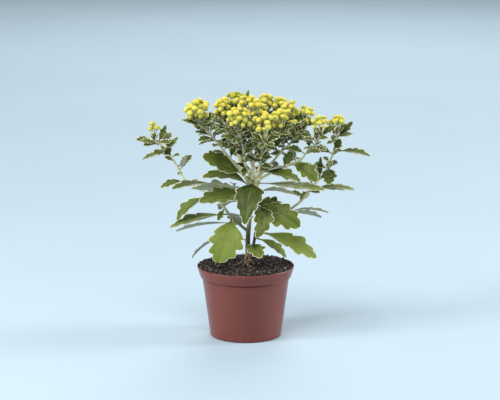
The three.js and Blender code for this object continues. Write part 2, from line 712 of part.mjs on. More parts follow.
function pot() {
  const shoulder = POT_HEIGHT - RIM_BAND;
  const round = [0, Math.PI / 4, Math.PI / 2].map((turn) => {
    return [FOOT_RADIUS + FOOT_ROUND * (Math.sin(turn) - 1), FOOT_ROUND * (1 - Math.cos(turn))];
  });
  const profile = [
    [0, 0],
    ...round,
    [BODY_TOP_RADIUS, shoulder - RIM_STEP],
    [RIM_FOOT_RADIUS, shoulder],
    [RIM_RADIUS, POT_HEIGHT - RIM_BEVEL],
    [RIM_RADIUS - RIM_BEVEL / 2, POT_HEIGHT],
    [RIM_RADIUS - WALL, POT_HEIGHT],
    [innerRadius(shoulder), shoulder],
    [innerRadius(FLOOR), FLOOR],
    [0, FLOOR],
  ];
  let shape = solid(turned(profile));
  for (let i = 0; i < DRAIN_HOLES; i += 1) {
    const turn = (2 * Math.PI * (i + 0.5)) / DRAIN_HOLES;
    const drill = new THREE.CylinderGeometry(DRAIN_RADIUS, DRAIN_RADIUS, 4 * FLOOR, DRAIN_SIDES);
    drill.rotateX(Math.PI / 2);
    drill.translate(DRAIN_CIRCLE * Math.cos(turn), DRAIN_CIRCLE * Math.sin(turn), 0);
    shape = shape.subtract(solid(drill));
  }
  return shape;
}

function soil() {
  const shoulder = POT_HEIGHT - RIM_BAND;
  const floor = FLOOR + GAP;
  const profile = [
    [0, floor],
    [innerRadius(floor) - GAP, floor],
    [innerRadius(shoulder) - GAP, shoulder],
  ];
  const edge = innerRadius(SOIL_EDGE - SOIL_DIP) - GAP;
  for (let i = 0; i <= SOIL_RINGS; i += 1) {
    profile.push([edge * (1 - i / SOIL_RINGS), SOIL_EDGE]);
  }
  const geometry = turned(profile);
  const corners = geometry.attributes.position;
  for (let i = 0; i < corners.count; i += 1) {
    if (corners.getZ(i) > shoulder + GAP) {
      corners.setZ(i, soilHeight(corners.getX(i), corners.getY(i)));
    }
  }
  const depth = 2 * (SOIL_EDGE - HOLE_BOTTOM);
  const drill = new THREE.CylinderGeometry(HOLE_RADIUS, HOLE_RADIUS, depth, HOLE_SIDES);
  drill.rotateX(Math.PI / 2);
  drill.translate(FOOT_ROUTE[0][0], FOOT_ROUTE[0][1], SOIL_EDGE);
  return solid(geometry).subtract(solid(drill));
}

function rootlet({ turn, reach, rise }) {
  const angle = THREE.MathUtils.degToRad(turn);
  const spots = [0.05, 0.4, 0.75, 1].map((along, i) => {
    const x = 1.5 + reach * along * Math.cos(angle + 0.25 * Math.sin(4 * along + turn));
    const y = reach * along * Math.sin(angle + 0.25 * Math.sin(4 * along + turn));
    const rest = soilHeight(x, y) + ROOTLET_RADIUS + ROOTLET_LIFT;
    return [x, y, i === 0 ? rise : Math.max(rest, rise - (rise - rest) * along * 1.4)];
  });
  return tube(route(spots), taper([ROOTLET_RADIUS * 1.3, ROOTLET_RADIUS]), ROOTLET_SIDES, ROOTLET_STEPS);
}

function plantFoot() {
  const parts = [
    stalk({ curve: route(FOOT_ROUTE), radii: FOOT_RADII }),
    stalk({ curve: route(SIDE_FOOT_ROUTE), radii: SIDE_FOOT_RADII }),
    ...ROOTLETS.map(rootlet),
  ];
  return join(parts);
}

const plant = new THREE.Group();
plant.add(mesh("pot", pot(), POT_RED, 0.45));
plant.add(mesh("soil", soil(), SOIL_BROWN, 0.95));
plant.add(mesh("plant_foot", plantFoot(), WOOD_BROWN, 0.8));

const clearances = {
  plant_foot: stalk({ curve: route(SIDE_FOOT_ROUTE), radii: SIDE_FOOT_RADII }, STALK_GAP),
};
let leafCount = 0;
let bunchCount = 0;
for (const shoot of SHOOTS.map(sweptShoot)) {
  const curves = shoot.stalks.map((item, i) => {
    const bunch = shoot.bunches.find(({ stalk: place }) => place === i);
    return route(bunch ? [...item.route, coreFoot(bunch).toArray()] : item.route);
  });
  const stalks = shoot.stalks.map(({ radii }, i) => ({ curve: curves[i], radii }));
  const pieces = stalks.map((item) => stalk(item));
  clearances[shoot.name] = join(stalks.map((item) => stalk(item, STALK_GAP)));
  for (const record of shoot.leaves) {
    const curve = curves[record[0]];
    const base = curve.getPoint(record[1] / (curve.points.length - 1));
    pieces.push(leaf(base, record, leafCount));
    leafCount += 1;
  }
  for (const bunch of shoot.bunches) {
    const large = bunch.heads >= HEART_FEWEST;
    const heads = bunchHeads(bunch, bunchCount);
    const stalked = heads.filter(({ level }) => !large || level < STALKED_LEVEL);
    const buttons = heads.map(head);
    pieces.push(core(bunch), ...stalked.map((item) => pedicel(item, bunch)));
    if (large) {
      pieces.push(heartStalk(bunch));
      buttons.push(heart(bunch));
    }
    const color = bunch.name === "top_flowers" ? YOUNG_YELLOW : FLOWER_YELLOW;
    plant.add(mesh(bunch.name, join(buttons), color, 0.8));
    bunchCount += 1;
  }
  const whole = join(pieces);
  const shape = shoot.from ? whole.subtract(clearances[shoot.from]) : whole;
  plant.add(mesh(shoot.name, shape, shoot.from ? LEAF_GREEN : PALE_GREEN, 0.7));
}

export default plant;
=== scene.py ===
import itertools
import math
from collections import namedtuple

import bpy
import numpy as np
from bpy.props import FloatProperty, IntProperty, PointerProperty, StringProperty
from mathutils import Matrix, Vector, noise


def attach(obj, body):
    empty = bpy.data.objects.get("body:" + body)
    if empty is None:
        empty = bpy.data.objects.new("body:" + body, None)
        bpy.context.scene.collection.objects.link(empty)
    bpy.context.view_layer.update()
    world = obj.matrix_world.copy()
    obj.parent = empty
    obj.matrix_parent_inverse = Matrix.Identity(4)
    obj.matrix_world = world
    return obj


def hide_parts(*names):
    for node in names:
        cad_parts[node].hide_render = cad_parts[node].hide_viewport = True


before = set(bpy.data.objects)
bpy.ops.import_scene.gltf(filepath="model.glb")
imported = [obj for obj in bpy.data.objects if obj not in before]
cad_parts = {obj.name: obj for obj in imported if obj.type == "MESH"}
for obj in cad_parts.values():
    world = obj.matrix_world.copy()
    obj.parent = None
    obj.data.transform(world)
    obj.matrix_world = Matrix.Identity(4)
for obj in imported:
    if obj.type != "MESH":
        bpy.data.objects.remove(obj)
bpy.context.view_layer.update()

# A potted gold and silver chrysanthemum. The layout is in millimetres, as in the part's source,
# and meshes are in metres. Z is up, -Y is the front and the pot's foot stands on the floor.

bl_info = {
    "name": "Potted gold and silver chrysanthemum",
    "version": (1, 0, 0),
    "blender": (4, 5, 0),
    "location": "View3D > Sidebar > Plant",
    "description": "Builds the pot, soil, stems, silver-edged leaves and yellow button heads",
    "category": "Object",
}

MM = 0.001
BODY = "root"
GOLDEN_ANGLE = math.pi * (3 - math.sqrt(5))

# Sizes that the part's source states too
POT_HEIGHT = 88
RIM_RADIUS = 60
RIM_BAND = 12
RIM_FOOT_RADIUS = 56.5
BODY_TOP_RADIUS = 53.9
FOOT_RADIUS = 44
FOOT_ROUND = 2
WALL = 1.5
FLOOR = 1.8
DRAIN_HOLES = 4
DRAIN_RADIUS = 3.5
DRAIN_CIRCLE = 30
GAP = 0.3
SOIL_EDGE = 87
SOIL_MOUND = 2.4
LEADER_X = 8
SWEEP_DROP = 0.2
PETIOLE_HALF = 0.6
CORE_LENGTH = 9
CORE_DEPTH = 8.5
HEAD_RADIUS = 4.1
HEAD_UNDER = 0.64
HEAD_SKIRT = 0.35
HEAD_UPRIGHT = 6
HEAD_JITTER = 1.2
FOOT_ROUTE = [[1, 0, 65], [1, 0, 86], [1.8, 0, 97], [2.5, 0, 108]]
FOOT_RADII = [3.9, 3]
SIDE_FOOT_ROUTE = [[1.5, 0, 92], [6, -1.5, 99], [8, -2.2, 104]]
SIDE_FOOT_RADII = [2.2, 1.7]
ROOTLETS = [
    {"turn": 200, "reach": 17, "rise": 97},
    {"turn": 238, "reach": 20, "rise": 95},
    {"turn": 268, "reach": 22, "rise": 96},
    {"turn": 292, "reach": 24, "rise": 94},
    {"turn": 322, "reach": 21, "rise": 96},
    {"turn": 75, "reach": 18, "rise": 95},
]
ROOTLET_RADIUS = 0.75
ROOTLET_LIFT = 1.4

# Fineness: cells across the soil, and stations along the foot of a blade, its first lobe, each
# later lobe and its tip
SOIL_CELLS = 110
LEAF_STEPS = [3, 11, 8, 5]
SMALL_LEAF_STEPS = [1, 4, 3, 2]

# Pot and soil: how far the underside of the rim lies below its band, how far a crumb strays, the
# largest one on the rim, the share of them that lies there where the soil is heaped and elsewhere,
# and the radii of a rootlet from its root to its end
LEDGE_DROP = 1.7
CRUMB_STRAY = 2
RIM_CRUMB = 1.2
HEAPED_SHARE = 0.8
BARE_SHARE = 0.25
ROOTLET_RADII = [1.3, 0.8, 0.6, 0.25]

# Leaves: the silver margin narrows on a blade narrower than MARGIN_WIDTH. Leaves pale downward over
# a band above LOW_LEAF, where the low ones are old; the higher ones are darker, partly as young leaves
# and partly as painted shade inside the plant. They pale upward over a band above CROWN_LEAF, and
# towards their tips, partly their own colour and partly painted shade near the stalk. CHART_ROOM keeps
# the patterns of two leaves apart. The small filler leaves of each shoot have numbers of their own:
# a stalk has at least FEWEST_FILLERS and more for each head, and the longer ones are narrow.
MARGIN_WIDTH = 15
LOW_LEAF = 95
CROWN_LEAF = 170
PALE_BAND = 60
PALER_TIP = 0.35
CHART_ROOM = 40
FIRST_FILLER = 500
FILLER_ROOM = 100
FEWEST_FILLERS = 13
FILLERS_A_HEAD = 0.8
SHORT_FILLER = 11
FILLER_GROWTH = 15
NARROW_FROM = 13
FEWEST_BRACTS = 3
HEADS_A_BRACT = 4

# Blade: the share of its length that its stalk-like foot takes, how much thicker that is, how deep
# the veins are sunk and how far the blade puffs up between them
PETIOLE_SHARE = 0.22
PETIOLE_SWELL = 1.6
VEIN_SINK = 0.2
PUFF = 0.25

# Stems: how much thicker they are than in the part's source, and which stalk of the leader is cut
# off and shows pale wood above a height
STALK_GIRTH = 1.12
HEAD_STALK_RADII = [0.75, 0.6, 0.5, 0.55]
CUT_STALK = 2
CUT_FROM = 202

# Heads: the numbers kept for one bunch, the smallest head as a share of its bunch's radius, how much
# larger one may be, how far it strays from its spiral, the share past the first few that hangs low,
# and how wide the green cup is in it
HEAD_ROOM = 40
SMALLEST_HEAD = 0.87
HEAD_RANGE = 0.22
HEAD_STRAY = 4.2
LOW_SHARE = 0.75
LOW_FROM = 4
CUP_SHARE = 0.84

# Easing: how near two heads may press as a share of their radii, how often, how fast and how far they
# are moved apart, and a reach at which none presses
HEAD_PRESS = 0.93
EASING_STEPS = 30
EASING_SHARE = 0.25
EASING_MOST = 2.5
FAR = 1000

# Each shoot is one leafy stem, and its sweep turns it back, or forward where negative. A stalk is a
# route with a radius at each end. A leaf's place is counted in points of its stalk's route, its lean
# is that of its upper face in x and y, and its bow is sideways. A bunch is the head of buttons that a
# stalk ends in, laid over a dome as wide as its spread in x and y, which may slope. Leaves are written
# as rows of their first seven values, and the bow if there is one.
Stalk = namedtuple("Stalk", "route radii bunches", defaults=[()])
Leaf = namedtuple("Leaf", "stalk place tip width arch lean form bow base number", defaults=[0, None, 0])
Bunch = namedtuple("Bunch", "name stalk at heads spread dome slope radius number",
                   defaults=[0, HEAD_RADIUS, 0])
Shoot = namedtuple("Shoot", "name sweep stalks leaves bunches")

SHOOTS = [
    Shoot("leader", sweep=0, stalks=[
        Stalk([[2.5, 0, 108.4], [3, 1, 126], [5, 1, 148], [7, 0.5, 168], [8.5, 0, 188], [9, 1, 206],
               [7, 4, 228], [3, 8, 252]], [2.8, 1.1]),
        Stalk([[8.8, 1.4, 209], [3, 9, 230], [-4, 16, 256]], [1.5, 0.9]),
        Stalk([[8.8, 0, 197], [9.8, -2, 206], [10.2, -3, 213]], [2.6, 2.5]),
    ], leaves=[
        [0, 4.3, [-1, -37, 147], 36, 8, [0, -0.6], "tapered"],
        [0, 3.65, [-53, -14, 201], 22, 14, [0, -0.5], "medium"],
        [0, 3.1, [-62, -8, 186], 30, 7, [0, 0.9], "medium"],
        [0, 3.4, [-56, -30, 173], 32, 6, [0, -0.8], "broad"],
        [0, 3.5, [66, 18, 171], 24, 6, [0, 0], "medium"],
        [0, 2.8, [46, 4, 157], 26, 6, [-0.3, -0.8], "medium"],
        [0, 2.9, [14, -44, 132], 27, 8, [0, -0.6], "broad", -11],
        [0, 2.6, [66, -26, 142], 38, 9, [0, -1.1], "broad"],
        [0, 0.6, [-66, -5, 98], 30, 13, [0, 0.1], "medium"],
        [0, 0.3, [18, -32, 104], 26, 5, [0, -0.5], "medium"],
        [0, 2.95, [5, 50, 163], 34, 8, [0, 0.3], "broad"],
        [0, 2.7, [-32, 38, 150], 34, 8, [0, 0.2], "broad"],
        [0, 2.3, [40, 40, 136], 34, 8, [0, 0.2], "broad"],
        [0, 1.8, [-14, 50, 128], 36, 8, [0, 0.3], "broad"],
        [1, 2.5, [4, 35, 301], 9, 0, [0, -2], "small"],
    ], bunches=[
        Bunch("centre", 0, [2, 8, 289], 13, [13, 9], 5),
        Bunch("top", 1, [-12, 24, 295], 9, [9, 7], 2.5, radius=3.8),
    ]),
    Shoot("left", sweep=-0.25, stalks=[
        Stalk([[8.5, 0, 187], [0, -1, 198], [-10, -2, 211], [-25, -4, 230], [-36, -5, 244],
               [-47, -5, 257]], [1.6, 1]),
    ], leaves=[
        [0, 1.3, [-52, -12, 226], 34, 3, [0, -0.9], "broad"],
        [0, 4, [-57, -4, 239], 9, 2, [0, -0.3], "narrow"],
        [0, 4.55, [-61, -3, 255], 9, 1, [0, -0.6], "small"],
        [0, 5.2, [-42, 0, 279], 8, 0, [0, -2], "small"],
        [0, 4.4, [-58, 6, 249], 9, 2, [0, 0.6], "narrow"],
    ], bunches=[
        Bunch("left", 0, [-59.5, -5, 283], 19, [10.5, 10.5], 8, slope=0.25),
    ]),
    Shoot("left_side", sweep=-0.1, stalks=[
        Stalk([[8.1, 0.8, 180.4], [-8, -4, 186], [-22, -6, 189], [-35, -9, 191]], [1.4, 0.9]),
    ], leaves=[
        [0, 2.9, [-89, -28, 189], 22, 4, [0, -0.1], "medium"],
        [0, 1.4, [-17, -18, 194], 10, 2, [0, -0.5], "small"],
    ], bunches=[]),
    Shoot("far_left", sweep=0.25, stalks=[
        Stalk([[3.4, 0, 130], [-8, -1, 140], [-19, -3, 151], [-34, -4, 170], [-55, -5, 184],
               [-73.7, -5, 195], [-83, -5, 210], [-94, -5, 229], [-103, -5, 239]], [1.7, 0.9]),
    ], leaves=[
        [0, 1.9, [-34, -46, 101.5], 46, 10, [0.1, -0.5], "broad", -5],
        [0, 1.1, [-87, 0, 130], 22, 4, [0, 0.35], "narrow"],
        [0, 2.5, [-34, -14, 147], 10, 1, [0, -0.6], "small"],
        [0, 2.1, [-94, -14, 138], 24, 5, [0, -0.35], "medium"],
        [0, 3.35, [-85, -10, 146], 22, 8, [0, -0.4], "medium"],
        [0, 4.9, [-105.6, -8, 187], 17, 4, [0, -0.5], "medium"],
        [0, 5.9, [-72, -8, 227], 9, -2, [0, 0.8], "small"],
        [0, 6.85, [-99, -12, 238], 16, 0, [0, -2], "small"],
        [0, 7, [-128, -10, 222.5], 13, 4, [0, -0.5], "narrow"],
        [0, 7.3, [-83, 0, 249], 9, 1, [0, -0.6], "small"],
        [0, 8.3, [-126, -10, 241], 12, 2, [0, -0.5], "narrow"],
        [0, 8.5, [-98, 0, 264], 10, 0, [0, -1.5], "small"],
        [0, 8.95, [-135.6, -6, 247], 13, 2, [0, -0.5], "narrow"],
    ], bunches=[
        Bunch("far_left", 0, [-113, -4, 262], 4, [4, 4], 2.5, radius=3.8),
    ]),
    Shoot("left_inner", sweep=0.35, stalks=[
        Stalk([[8.7, 0.2, 193], [0, 1, 209], [-9, 2, 228], [-18, 4, 250]], [1.4, 0.9]),
    ], leaves=[
        [0, 2.2, [-24, -8, 256], 15, 2, [0, -1], "medium"],
        [0, 3.2, [-38, 0, 256], 10, 2, [0, -0.6], "small"],
        [0, 3.6, [-32, -7, 264], 9, 1, [0, -0.8], "small"],
    ], bunches=[
        Bunch("left_inner", 0, [-28.5, 8, 286.5], 9, [7.5, 7.5], 4),
    ]),
    Shoot("front_left", sweep=0, stalks=[
        Stalk([[8.9, 0.4, 200], [0, -9, 214], [-3, -17, 238]], [1.4, 1]),
    ], leaves=[
        [0, 2.6, [-16, -32, 246], 10, 1, [0, -0.8], "small"],
        [0, 1.6, [9, -22, 246], 13, 1, [0, -2], "medium"],
        [0, 2.9, [4, -34, 262], 9, 1, [0, -0.8], "small"],
        [0, 0.9, [-3, -22, 203], 12, 3, [0, -0.8], "small"],
    ], bunches=[
        Bunch("front_left", 0, [-8, -28, 279], 17, [11, 9.5], 8),
    ]),
    Shoot("front_right", sweep=0, stalks=[
        Stalk([[8.1, -0.2, 178.5], [13, -10, 197], [17.5, -13.5, 218], [20, -16, 239]], [1.4, 1]),
        Stalk([[19.5, -16, 239], [22, -30, 244]], [1, 0.9]),
        Stalk([[18.5, -14.5, 227], [28, -17, 240], [36, -20, 250]], [1, 0.9]),
        Stalk([[18, -14, 222], [14, -13, 238], [13, -13, 252]], [1, 0.9]),
    ], leaves=[
        [0, 2.55, [48, -16, 248], 14, 2, [0, -0.6], "medium"],
        [0, 2.45, [12, -22, 238], 10, 1, [0, -1], "small"],
        [0, 3.9, [40, -30, 258], 9, 1, [0, -0.8], "small"],
        [0, 1.5, [66.5, -22, 197], 26, 5, [0, -0.5], "medium"],
        [0, 1.8, [31, -22, 214], 11, 3, [0, -0.8], "small"],
    ], bunches=[
        Bunch("front_right", 0, [23, -30, 275], 12, [10.5, 8], 4),
        Bunch("front_low", 1, [23, -44, 265.5], 3, [4, 2], 1),
        Bunch("front_side", 2, [41.6, -22, 276.5], 9, [5, 5], 7),
        Bunch("centre_front", 3, [13.5, -12, 288], 6, [5, 4], 4),
    ]),
    Shoot("back", sweep=0, stalks=[
        Stalk([[8.6, 1.7, 211], [13, 7, 230], [19, 14, 254]], [1.4, 0.9]),
    ], leaves=[
        [0, 1.3, [26, 26, 252], 11, 1, [0, 0.5], "small"],
        [0, 2.2, [10, 30, 266], 10, 1, [0, 0.5], "small"],
    ], bunches=[
        Bunch("back", 0, [24, 20, 290], 7, [6, 7], 5),
    ]),
    Shoot("right_inner", sweep=0.3, stalks=[
        Stalk([[8.9, 0.7, 199], [18, 3, 215], [28, 6, 238], [36, 10, 258]], [1.4, 0.9]),
    ], leaves=[
        [0, 1.4, [27, -6, 230], 9, 1, [0, -1.5], "small"],
        [0, 2.4, [46, 0, 256], 9, 1, [0, -0.8], "small"],
        [0, 3, [28, 4, 270], 8, 0, [0, -1], "small"],
    ], bunches=[
        Bunch("right_inner", 0, [39.5, 12, 288], 7, [5.5, 6], 4.5),
    ]),
    Shoot("right", sweep=0.15, stalks=[
        Stalk([[8.7, 0.1, 193], [20, -1, 204], [32, -2, 217], [45, -2, 232], [58, -2, 244]], [1.6, 1]),
        Stalk([[44, -2, 231], [48, 1, 246]], [1, 0.8]),
        Stalk([[55, -2, 241.5], [58, -12, 250]], [1, 0.8]),
    ], leaves=[
        [0, 4.2, [79, -6, 250], 10, 2, [0, -0.5], "small"],
        [0, 4.7, [77, -8, 268], 8, 1, [0, -0.8], "small"],
    ], bunches=[
        Bunch("right", 0, [72, 2, 278.5], 9, [7.5, 7], 4, radius=3.8),
        Bunch("right_mid", 1, [53, 0, 283], 8, [5, 5], 5.5),
        Bunch("right_low", 2, [58, -16, 268.5], 2, [3, 2], 1, radius=3.7),
    ]),
    Shoot("right_outer", sweep=-0.25, stalks=[
        Stalk([[8.5, 0, 188], [20, 1, 197.5], [36, 2, 206], [48, 1, 211], [66.5, -1, 220], [75, -3, 231],
               [85, -3.5, 241]], [1.6, 0.9]),
    ], leaves=[
        [0, 0.3, [95.5, -24, 187], 24, 2, [0, -0.2], "medium"],
        [0, 2.8, [57, -2, 231], 16, 1, [0, -2.5], "medium"],
        [0, 3.3, [86, -18, 196], 26, 9, [0, -0.6], "medium"],
        [0, 3.8, [86, 6, 197], 14, 6, [0, 0.8], "narrow"],
        [0, 5.25, [97, -10, 233], 13, 2, [0, -0.4], "medium"],
        [0, 6.2, [82, -13, 257], 9, 1, [0, -0.8], "small"],
    ], bunches=[
        Bunch("right_outer", 0, [90, -3, 266.5], 6, [5.5, 5], 3, radius=3.8),
    ]),
    Shoot("far_right", sweep=0.22, stalks=[
        Stalk([[7.4, -2, 103], [10.5, -3, 119], [14, -4, 134], [28, -4, 145], [42, -4, 152],
               [54, -4, 158.5], [66.5, -4, 168], [74, -4, 176], [82.4, -4, 188], [88.6, -3, 194],
               [99.6, -2, 205], [103, -1, 216], [108, 0, 230]], [1.7, 0.9]),
    ], leaves=[
        [0, 1.8, [87, -24, 102], 30, 8, [0, -0.7], "medium"],
        [0, 1.25, [50, -12, 100], 22, 6, [0, -0.5], "medium"],
        [0, 4.6, [103, -8, 155], 16, 4, [0, 0.1], "narrow"],
        [0, 4.2, [94, 8, 146], 16, 4, [0, 0.6], "narrow"],
        [0, 7.65, [135, -6, 184], 19, 4, [0, -0.5], "medium"],
        [0, 9, [88.6, 2, 218], 15, 0, [0, -2.5], "medium"],
        [0, 10.6, [102, -24, 194], 22, 5, [0, -0.8], "medium"],
        [0, 9.25, [92, -10, 226], 8, 0, [0, -1], "small"],
        [0, 10.9, [113, -7, 219], 9, 1, [0, -0.6], "small"],
        [0, 12.15, [117, -10, 248], 15, 0, [0, -2], "medium"],
        [0, 12, [154, -6, 226], 16, 5, [0, -0.5], "narrow"],
        [0, 12.8, [132, 2, 268], 12, 0, [0, -0.8], "small"],
    ], bunches=[
        Bunch("far_right", 0, [112, 0, 268.8], 8, [8.5, 6], 2.5, slope=0.25, radius=3.8),
    ]),
    Shoot("back_left", sweep=0, stalks=[
        Stalk([[7.8, 0.5, 174.6], [0, 12, 196], [-10, 24, 222], [-18, 34, 248]], [1.6, 0.9]),
    ], leaves=[
        [0, 1.3, [-38, 34, 212], 22, 5, [0, 0.1], "medium"],
        [0, 2, [-18, 58, 230], 20, 4, [0, 0.3], "medium"],
        [0, 2.6, [6, 46, 244], 16, 3, [0, 0.2], "medium"],
        [0, 3.2, [-38, 44, 258], 12, 2, [0, 0.2], "small"],
    ], bunches=[
        Bunch("back_left", 0, [-24, 44, 283], 8, [8.5, 7], 4.5),
    ]),
    Shoot("back_right", sweep=0, stalks=[
        Stalk([[7.5, 0.4, 169], [16, 12, 190], [26, 24, 220], [36, 36, 248]], [1.6, 0.9]),
    ], leaves=[
        [0, 1.3, [52, 30, 204], 22, 5, [0, 0.1], "medium"],
        [0, 2, [36, 60, 228], 20, 4, [0, 0.3], "medium"],
        [0, 2.6, [16, 50, 246], 16, 3, [0, 0.2], "medium"],
        [0, 3.2, [56, 44, 256], 12, 2, [0, 0.2], "small"],
    ], bunches=[
        Bunch("back_right", 0, [42, 44, 281], 8, [8.5, 7], 4.5),
    ]),
]

# Half outlines of the leaf forms, as fractions of the length and of the half width: where the
# stalk-like base ends, then the rounded teeth, each as its tip and the notch behind which it ends
LEAF_FORMS = {
    "broad": {
        "foot": 0.05, "base": [0.15, 0.08],
        "lobes": [([0.42, 0.74], [0.51, 0.7]), ([0.64, 0.98], [0.715, 0.62]), ([0.83, 0.76], [0.885, 0.44])],
    },
    "tapered": {
        "foot": 0.05, "base": [0.1, 0.08],
        "lobes": [([0.26, 0.88], [0.36, 0.86]), ([0.49, 0.96], [0.56, 0.72]), ([0.68, 0.72], [0.74, 0.5]),
                  ([0.84, 0.42], [0.88, 0.26])],
    },
    "medium": {
        "foot": 0.08, "base": [0.2, 0.12],
        "lobes": [([0.45, 0.72], [0.53, 0.6]), ([0.68, 0.97], [0.76, 0.56]), ([0.87, 0.62], [0.91, 0.36])],
    },
    "narrow": {
        "foot": 0.1, "base": [0.24, 0.15],
        "lobes": [([0.43, 0.68], [0.48, 0.5]), ([0.6, 0.93], [0.65, 0.62]), ([0.79, 0.82], [0.84, 0.44])],
    },
    "small": {
        "foot": 0.16, "base": [0.25, 0.24],
        "lobes": [([0.47, 0.8], [0.52, 0.6]), ([0.67, 0.96], [0.74, 0.54])],
    },
}


class PotSettings(bpy.types.PropertyGroup):
    rim_round: FloatProperty(
        name="Rim rounding", description="Radius of the pot's rim edge", default=0.7 * MM, unit="LENGTH")
    sides: IntProperty(name="Sides", description="Facets around the pot", default=128)
    plastic: StringProperty(
        name="Plastic", description="Colour of the pot as an sRGB hex value", default="#77382d")


class SoilSettings(bpy.types.PropertyGroup):
    crumbs: IntProperty(name="Crumbs", description="Loose crumbs on the soil", default=950)
    crumb_size: FloatProperty(
        name="Crumb size", description="Largest radius of a crumb", default=2.1 * MM, unit="LENGTH")
    fibres: IntProperty(name="Fibres", description="Peat fibres on the soil", default=55)
    peat: StringProperty(
        name="Peat", description="Colour of the soil as an sRGB hex value", default="#100d0b")


class LeafSettings(bpy.types.PropertyGroup):
    thickness: FloatProperty(
        name="Thickness", description="Thickness of a blade", default=0.5 * MM, unit="LENGTH")
    margin: FloatProperty(
        name="Silver margin", description="Width of the pale edge", default=0.46 * MM, unit="LENGTH")
    rows: IntProperty(name="Rows", description="Rows of faces in half a blade", default=8)
    # The young green is also the dark end that leaves take as painted shade inside the plant
    young: StringProperty(
        name="Young green", description="Colour of a young leaf as an sRGB hex value", default="#3a470f")
    old: StringProperty(
        name="Old green", description="Colour of an old leaf as an sRGB hex value", default="#7f8e3c")
    silver: StringProperty(
        name="Silver", description="Colour of the leaf margin as an sRGB hex value", default="#f2efc9")
    felt: StringProperty(
        name="Felt", description="Colour of the leaf's underside as an sRGB hex value", default="#b8b792")


class HeadSettings(bpy.types.PropertyGroup):
    fullness: FloatProperty(
        name="Fullness", description="Radius of a head as a share of its room", default=0.98)
    bud: FloatProperty(
        name="Bud size", description="Radius of an unopened bud as a share of a head's", default=0.6)
    florets: IntProperty(name="Florets", description="Florets on one head", default=58)
    yellow: StringProperty(
        name="Yellow", description="Colour of the florets as an sRGB hex value", default="#f3ed78")
    young: StringProperty(
        name="Young yellow", description="Colour of unopened florets as an sRGB hex value",
        default="#ccd551")


def chance(index, draw):
    """A repeatable draw between 0 and 1 for the thing numbered index."""
    value = math.sin(index * 12.9898 + draw * 78.233) * 43758.5453
    return value - math.floor(value)


def head_chance(bunch, index, draw):
    return chance(bunch.number * HEAD_ROOM + index, draw)


def unit(vector):
    return vector / np.linalg.norm(vector)


def swept(spot, sweep):
    """Moves a spot back by the sweep for each millimetre that it stands out from the leader."""
    shift = sweep * abs(spot[0] - LEADER_X)
    return np.array([spot[0], spot[1] + shift, spot[2] - SWEEP_DROP * shift])


def core_top(bunch):
    """Where the stalks of a bunch's heads part."""
    return bunch.at - np.array([0, 0, CORE_DEPTH])


def core_foot(bunch):
    return core_top(bunch) - np.array([0, 0, CORE_LENGTH])


def curve_point(points, place):
    """A point of the smooth curve through the points, at a place counted in points."""
    last = len(points) - 1
    index = min(int(place), last - 1)
    share = place - index
    here, there = points[index], points[index + 1]
    before = points[index - 1] if index > 0 else 2 * here - there
    after = points[index + 2] if index + 2 <= last else 2 * there - here
    leaving = 0.5 * (there - before)
    arriving = 0.5 * (after - here)
    bend = -3 * here + 3 * there - 2 * leaving - arriving
    turn = 2 * here - 2 * there + leaving + arriving
    return here + leaving * share + bend * share ** 2 + turn * share ** 3


def grown_shoots():
    """The shoots with their sweep applied, and the number of each leaf and bunch."""
    shoots = []
    leaf_numbers = itertools.count()
    bunch_numbers = itertools.count()
    for shoot in SHOOTS:
        bunches = [bunch._replace(at=swept(bunch.at, shoot.sweep), number=next(bunch_numbers))
                   for bunch in shoot.bunches]
        stalks = []
        for number, stalk in enumerate(shoot.stalks):
            carried = [bunch for bunch in bunches if bunch.stalk == number]
            route = [swept(spot, shoot.sweep) for spot in stalk.route]
            stalks.append(Stalk(route + [core_foot(bunch) for bunch in carried], stalk.radii, carried))
        leaves = []
        for row in shoot.leaves:
            leaf = Leaf(*row)
            base = curve_point(stalks[leaf.stalk].route, leaf.place)
            tip = swept(leaf.tip, shoot.sweep)
            leaves.append(leaf._replace(base=base, tip=tip, number=next(leaf_numbers)))
        shoots.append(shoot._replace(stalks=stalks, leaves=leaves, bunches=bunches))
    return shoots


def across(bunch, turn, out):
    """How far a spot stands off the middle of a bunch in x and y, at a turn and a share of its spread."""
    return bunch.spread[0] * out * math.cos(turn), bunch.spread[1] * out * math.sin(turn)


def bunch_heads(bunch):
    """The button heads of a bunch, laid out in a spiral over a dome that ends in a low skirt."""
    heads = []
    for i in range(bunch.heads):
        level = 1 - (1 + HEAD_SKIRT) * (i + 0.5) / bunch.heads
        x, y = across(bunch, i * GOLDEN_ANGLE + bunch.number, math.sqrt(1 - level * level))
        lift = HEAD_JITTER * (head_chance(bunch, i, 5) - 0.5)
        spot = bunch.at + np.array([x, y, bunch.dome * level + bunch.slope * x + lift])
        size = bunch.radius * (SMALLEST_HEAD + HEAD_RANGE * head_chance(bunch, i, 6))
        axis = unit(spot - core_top(bunch) + np.array([0, 0, HEAD_UPRIGHT]))
        heads.append({"spot": spot, "size": size, "axis": axis})
    return heads


def low_heads(bunch):
    """Heads on shorter stalks, which hang around a bunch under those of its dome."""
    heads = []
    for i in range(round(max(bunch.heads - LOW_FROM, 0) * LOW_SHARE)):
        out = 0.75 + 0.3 * head_chance(bunch, i, 16)
        x, y = across(bunch, i * GOLDEN_ANGLE + bunch.number + 0.9, out)
        drop = 3 + 0.4 * bunch.dome + 5 * head_chance(bunch, i, 17)
        spot = bunch.at + np.array([x, y, bunch.slope * x - drop])
        size = bunch.radius * (0.72 + 0.25 * head_chance(bunch, i, 18))
        axis = unit(np.array([x, y, 0.8 * math.hypot(x, y)]))
        heads.append({"spot": spot, "size": size, "axis": axis})
    return heads


